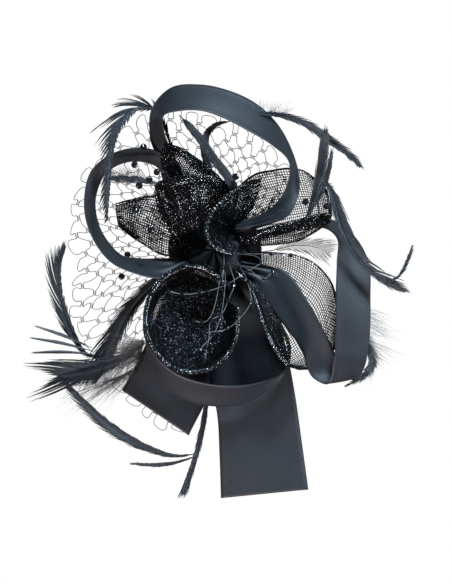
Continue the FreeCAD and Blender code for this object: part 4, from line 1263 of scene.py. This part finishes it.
def bead(centre, diameter, axis):
    """A cut bead: rings of flats round a bored hole, closed through the hole."""
    axis = np.asarray(axis, float) / np.linalg.norm(axis)
    side = np.cross(axis, (0.3, 0.5, 0.8))
    side = side / np.linalg.norm(side)
    other = np.cross(axis, side)
    radius = diameter / 2
    rings = []
    for k, (height, width) in enumerate(zip(BEAD_HEIGHTS, BEAD_WIDTHS)):
        shift = 0.5 * (k % 2) if 0 < k < 6 else 0
        turn = 2 * math.pi * (np.arange(BEAD_FLATS) + shift) / BEAD_FLATS
        ring = np.cos(turn)[:, None] * side + np.sin(turn)[:, None] * other
        rings.append(centre + radius * (ring * width + axis * height))
    points = np.concatenate(rings)
    index = np.arange(len(points)).reshape(len(rings), BEAD_FLATS)
    faces = []
    for k in range(len(rings) - 1):
        for j in range(BEAD_FLATS):
            n = (j + 1) % BEAD_FLATS
            a, b, c, d = index[k, j], index[k, n], index[k + 1, n], index[k + 1, j]
            if 0 < k < 5 and k % 2 == 1:
                faces += [(a, b, d), (b, c, d)]
            else:
                faces += [(a, b, c), (a, c, d)]
    for j in range(BEAD_FLATS):
        n = (j + 1) % BEAD_FLATS
        faces += [(index[-1, j], index[-1, n], index[0, n]),
                  (index[-1, j], index[0, n], index[0, j])]
    return points, np.array(faces)


STEM_IN_REACH = 6 * MM          # a bead further than this from every stem stands by itself


def beads(name, places, diameter, paths):
    """Beads at given places, each lined up with the nearest stem."""
    surfaces = []
    for place in places:
        centre = np.array(place, float) * MM
        axis = np.array([0.9, 0.4, 0.15])
        best = STEM_IN_REACH
        for path in paths:
            gaps = np.linalg.norm(path - centre, axis=1)
            if gaps.min() < best:
                best = gaps.min()
                at = min(max(int(gaps.argmin()), 1), len(path) - 2)
                axis = path[at + 1] - path[at - 1]
        surfaces.append(bead(centre, diameter * rng.uniform(0.94, 1.04), axis))
    make_piece(name, surfaces, BEAD, [name], smooth_faces=False)


beads("beads_centre", BEADS_CENTRE, SMALL_BEAD, paths_centre)
beads("beads_left", BEADS_LEFT, LARGE_BEAD, paths_left)
beads("beads_right", BEADS_RIGHT, LARGE_BEAD, paths_right)
beads("beads_net", BEADS_NET, LARGE_BEAD, [])

# %% [markdown]
# Round things, such as the felt disc, its lining and the bound roots, are profiles turned round
# the middle. A turned shape with nothing more looks machined, so its radius and height are also
# varied with the angle: soft lumps for felt, and folds for the gathered ribbon ends.

# %% Turned pieces
def turned(profile, count, vary=None):
    """A profile of (radius, height) in mm, turned, and closed on the axis at both ends."""
    turn = 2 * math.pi * np.arange(count) / count
    rings = []
    for radius, height in profile:
        r = np.full(count, float(radius))
        z = np.full(count, float(height))
        if vary:
            r, z = vary(turn, r, z)
        rings.append(np.stack([r * np.cos(turn), r * np.sin(turn), z], axis=1))
    return rings_to_surface(np.array(rings)[None] * MM)


def felt_lumps(turn, r, z):
    lumps = np.sin(turn * 17 + z * 2) * 0.08 + np.sin(turn * 41 + z * 5) * 0.05
    return r + lumps * (r > 25), z + lumps * 0.4


def ribbon_folds(turn, r, z):
    deep = 0.5 * np.abs(np.sin(turn * 19 + 0.4 * np.sin(turn * 3))) + 0.25 * np.sin(turn * 7)
    return r + deep * np.clip(r / 12, 0, 1), z + 0.5 * np.sin(turn * 9) * (z > 12)


print("turned pieces vary by up to 0.13 mm in the felt, and 0.75 mm in the roots")

# %% [markdown]
# The felt is a thick disc with a rounded edge, and loose fibres stand out of the cut. The lining
# is a thinner, smaller disc under it. The roots are all the ribbon and quill ends, gathered and
# glued into a low drum, and the petals hide most of it.

# %% Base
FELT_PROFILE = [(0.3, 1.32), (20, 1.32), (30.8, 1.32), (31.6, 1.7), (31.95, 2.5), (31.6, 3.3),
                (30.8, 3.75), (20, 3.78), (0.3, 3.78)]
LINING_PROFILE = [(0.3, 0.84), (15, 0.84), (29.4, 0.84), (29.8, 1.0), (29.6, 1.28), (15, 1.28),
                  (0.3, 1.28)]
ROOT_PROFILE = [(0.3, 4.25), (19, 4.25), (21, 4.6), (21.3, 6.5), (21.4, 9), (20.8, 12),
                (19.2, 15), (15.5, 17.3), (9, 17.6), (4, 17.9), (0.3, 17.9)]


def felt_fibres(count):
    """Loose fibres that stand out of the felt's cut edge."""
    turn = rng.uniform(0, 2 * math.pi, count)
    z = rng.uniform(1.5, 3.6, count)
    out = np.stack([np.cos(turn), np.sin(turn), 0 * turn], axis=1)
    roots = out * 31.6 + np.stack([0 * z, 0 * z, z], axis=1)
    tips = roots + out * rng.uniform(0.4, 1.1, (count, 1)) + rng.normal(0, 0.4, (count, 3))
    side = np.stack([-out[:, 1], out[:, 0], 0 * turn], axis=1)
    return barbs(roots * MM, tips * MM, side * 0.1 * MM, 0.05 * MM, side)


def lay_flat_cloth(piece):
    """Weave coordinates straight from above, for a flat piece."""
    places = np.array([vertex.co for vertex in piece.data.vertices])
    lay_cloth(piece, places[:, 0], places[:, 1])


make_piece("felt_base", [turned(FELT_PROFILE, 144, felt_lumps), felt_fibres(900)], FELT,
           ["felt_base"])
lining = make_piece("base_lining", [turned(LINING_PROFILE, 96)], LINING, ["base_lining"])
lay_flat_cloth(lining)
# Painted shade: the root block's finish is darker than its ribbons, for the deep middle of the
# headpiece.
root = make_piece("root_block", [turned(ROOT_PROFILE, 288, ribbon_folds)], ROOT_PAINTED_SHADE,
                  ["root_block"])
lay_flat_cloth(root)

# %% [markdown]
# Thread is wound round the foot of the roots, and whip stitches hold the lining to the felt.
# Bars of thread over the clip's upper plate sew it on. Stitches made by hand are never exactly
# even, so each has a small chance shift.

# %% Thread
def winding(turns=7, steps=60):
    turn = np.linspace(0, 2 * math.pi * turns, turns * steps)
    radius = 22.25 + 0.12 * np.sin(turn * 0.37) + 0.1 * np.sin(turn * 2.9)
    height = 4.55 + 0.42 * turn / (2 * math.pi) + 0.1 * np.sin(turn * 1.3)
    return np.stack([radius * np.cos(turn), radius * np.sin(turn), height], axis=1) * MM


def lining_stitches(count=64):
    surfaces = []
    for k in range(count):
        turn = 2 * math.pi * k / count + rng.normal(0, 0.008)
        slant = turn + 0.028
        line = [(28.3 * math.cos(turn), 28.3 * math.sin(turn), 0.72),
                (29.6 * math.cos((turn + slant) / 2), 29.6 * math.sin((turn + slant) / 2), 0.62),
                (30.5 * math.cos(slant), 30.5 * math.sin(slant), 1.25)]
        surfaces.append(thread(smooth(np.array(line) * MM, 7), 0.14 * MM, 6))
    return surfaces


def clip_bars():
    surfaces = []
    for x in (-17.0, -10.0, -3.0):
        for strand in (-0.36, 0.0, 0.36):
            shift = x + strand + rng.normal(0, 0.05)
            line = [(shift, -5.1, 0.9), (shift, -4.75, 0.2), (shift, -3.6, -0.24), (shift, 0, -0.3),
                    (shift, 3.6, -0.24), (shift, 4.75, 0.2), (shift, 5.1, 0.9)]
            surfaces.append(thread(smooth(np.array(line) * MM, 24), 0.19 * MM, 6))
    return surfaces


make_piece("binding_thread", [thread(winding(), 0.24 * MM, 6)], THREAD, ["binding_thread"])
make_piece("lining_stitches", lining_stitches(), THREAD, ())
make_piece("clip_stitches", clip_bars(), THREAD, ["clip_stitches"])

# %% [markdown]
# The clip's plates and pin keep their imported shapes and take a steel finish. The spring is wound
# here as one wire: a leg, four turns round the pin and a second leg. One leg lies along the
# upper plate and the other along the lever, and the wire rides on no body.

# %% Hair clip
for name in ("clip_fixed_jaw", "clip_lever_jaw", "clip_hinge_pin"):
    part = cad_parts[name]
    part.data.materials.clear()
    part.data.materials.append(CLIP_STEEL)


COIL_RADIUS = 1.35 * MM
COIL_TURNS = 4


def spring_wire():
    pin_low, pin_high = (np.array(corner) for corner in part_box("clip_hinge_pin"))
    middle = (pin_low + pin_high) / 2
    turn = np.linspace(0, 2 * math.pi * COIL_TURNS, 40 * COIL_TURNS)
    y = np.linspace(-0.9, 0.9, len(turn)) * MM
    ring = np.stack([np.sin(turn), np.zeros_like(turn), np.cos(turn)], axis=1)
    coil = middle + COIL_RADIUS * ring + y[:, None] * np.array([0, 1, 0])
    upper = [coil[0] + np.array([reach, 0, reach * 0.26]) * MM for reach in (5.6, 4, 2.4, 0.9)]
    last = len(turn) - 20                      # the second leg leaves half a turn early
    lower = [coil[last] + np.array([reach, 0, -reach * 0.24]) * MM for reach in (1.0, 3, 5.5, 8.2)]
    return np.concatenate([np.array(upper), coil[:last + 1], np.array(lower)]), middle


wire, hinge = spring_wire()
spring = make_piece("clip_spring", [thread(smooth(wire, 320), 0.3 * MM, 10)], SPRING_STEEL,
                    ["clip_spring"], body=None)
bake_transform(spring)

# %% [markdown]
# The headpiece lies on a light table, as a small product is often shown, so the ground is pure
# white and has no shadow. A table as bright as it looks would throw grey light on every black
# piece above it. So its glass looks white, and sends out only a tenth of that as light.

# %% Light table
TABLE_LIGHT = 0.1
TABLE_HALF = 1.6                # metres
TABLE_GAP = 0.6 * MM            # under the lowest point of the clip


def light_table():
    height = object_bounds()[0][2] - TABLE_GAP
    mesh = bpy.data.meshes.new("light_table")
    count = 9
    line = np.linspace(-TABLE_HALF, TABLE_HALF, count)
    points = [(x, y, height) for y in line for x in line]
    faces = [(j * count + i, j * count + i + 1, (j + 1) * count + i + 1, (j + 1) * count + i)
             for j in range(count - 1) for i in range(count - 1)]
    mesh.from_pydata(points, [], faces)
    material = bpy.data.materials.new("opal glass")
    material.use_nodes = True
    tree = material.node_tree
    tree.nodes.clear()
    seen = tree.nodes.new("ShaderNodeEmission")
    seen.inputs["Strength"].default_value = 1.0
    cast = tree.nodes.new("ShaderNodeEmission")
    cast.inputs["Strength"].default_value = TABLE_LIGHT
    ray = tree.nodes.new("ShaderNodeLightPath")
    choose = tree.nodes.new("ShaderNodeMixShader")
    result = tree.nodes.new("ShaderNodeOutputMaterial")
    tree.links.new(ray.outputs["Is Camera Ray"], choose.inputs[0])
    tree.links.new(cast.outputs[0], choose.inputs[1])
    tree.links.new(seen.outputs[0], choose.inputs[2])
    tree.links.new(choose.outputs[0], result.inputs["Surface"])
    mesh.materials.append(material)
    table = bpy.data.objects.new("light_table", mesh)
    bpy.context.scene.collection.objects.link(table)
    table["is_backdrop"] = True
    print("the table's top is at %.1f mm" % (height / MM))


light_table()

# %% [markdown]
# Three soft panels light it: a cool one from the top, a cool one from the right, and a warmer
# one from below on the left. Black things show almost only what they reflect, so the panels'
# places decide where the satin shines. They are small enough for the folds to show, and the
# faint even light of the room keeps the dark sides from going flat.

# %% Panels and room light
PANELS = {
    "cool panel": ((0.35, 1.15, 0.95), (0, 0, 0.02), (0.3, 0.26), 30, (0.62, 0.82, 1.0)),
    "side panel": ((1.3, 0.3, 0.75), (0, 0, 0.02), (0.5, 0.4), 14, (0.68, 0.84, 1.0)),
    "warm panel": ((-0.5, -1.25, 0.85), (0, -0.05, 0.02), (0.4, 0.3), 23, (0.97, 0.93, 1.0))}
ROOM_COLOUR = (0.95, 0.97, 1.0, 1)
ROOM_LIGHT = 0.03


def panel(name, place, target, size, power, colour):
    data = bpy.data.lights.new(name, "AREA")
    data.shape = "RECTANGLE"
    data.size, data.size_y = size
    data.energy = power
    data.color = colour
    lamp = bpy.data.objects.new(name, data)
    bpy.context.scene.collection.objects.link(lamp)
    lamp.location = place
    lamp.rotation_euler = (Vector(target) - Vector(place)).to_track_quat("-Z", "Y").to_euler()


for name, settings in PANELS.items():
    panel(name, *settings)
world = bpy.data.worlds.new("studio")
world.use_nodes = True
room = world.node_tree.nodes["Background"]
room.inputs["Color"].default_value = ROOM_COLOUR
room.inputs["Strength"].default_value = ROOM_LIGHT
bpy.context.scene.world = world
bpy.context.scene.view_settings.view_transform = "Standard"
print("panels:", ", ".join(PANELS))
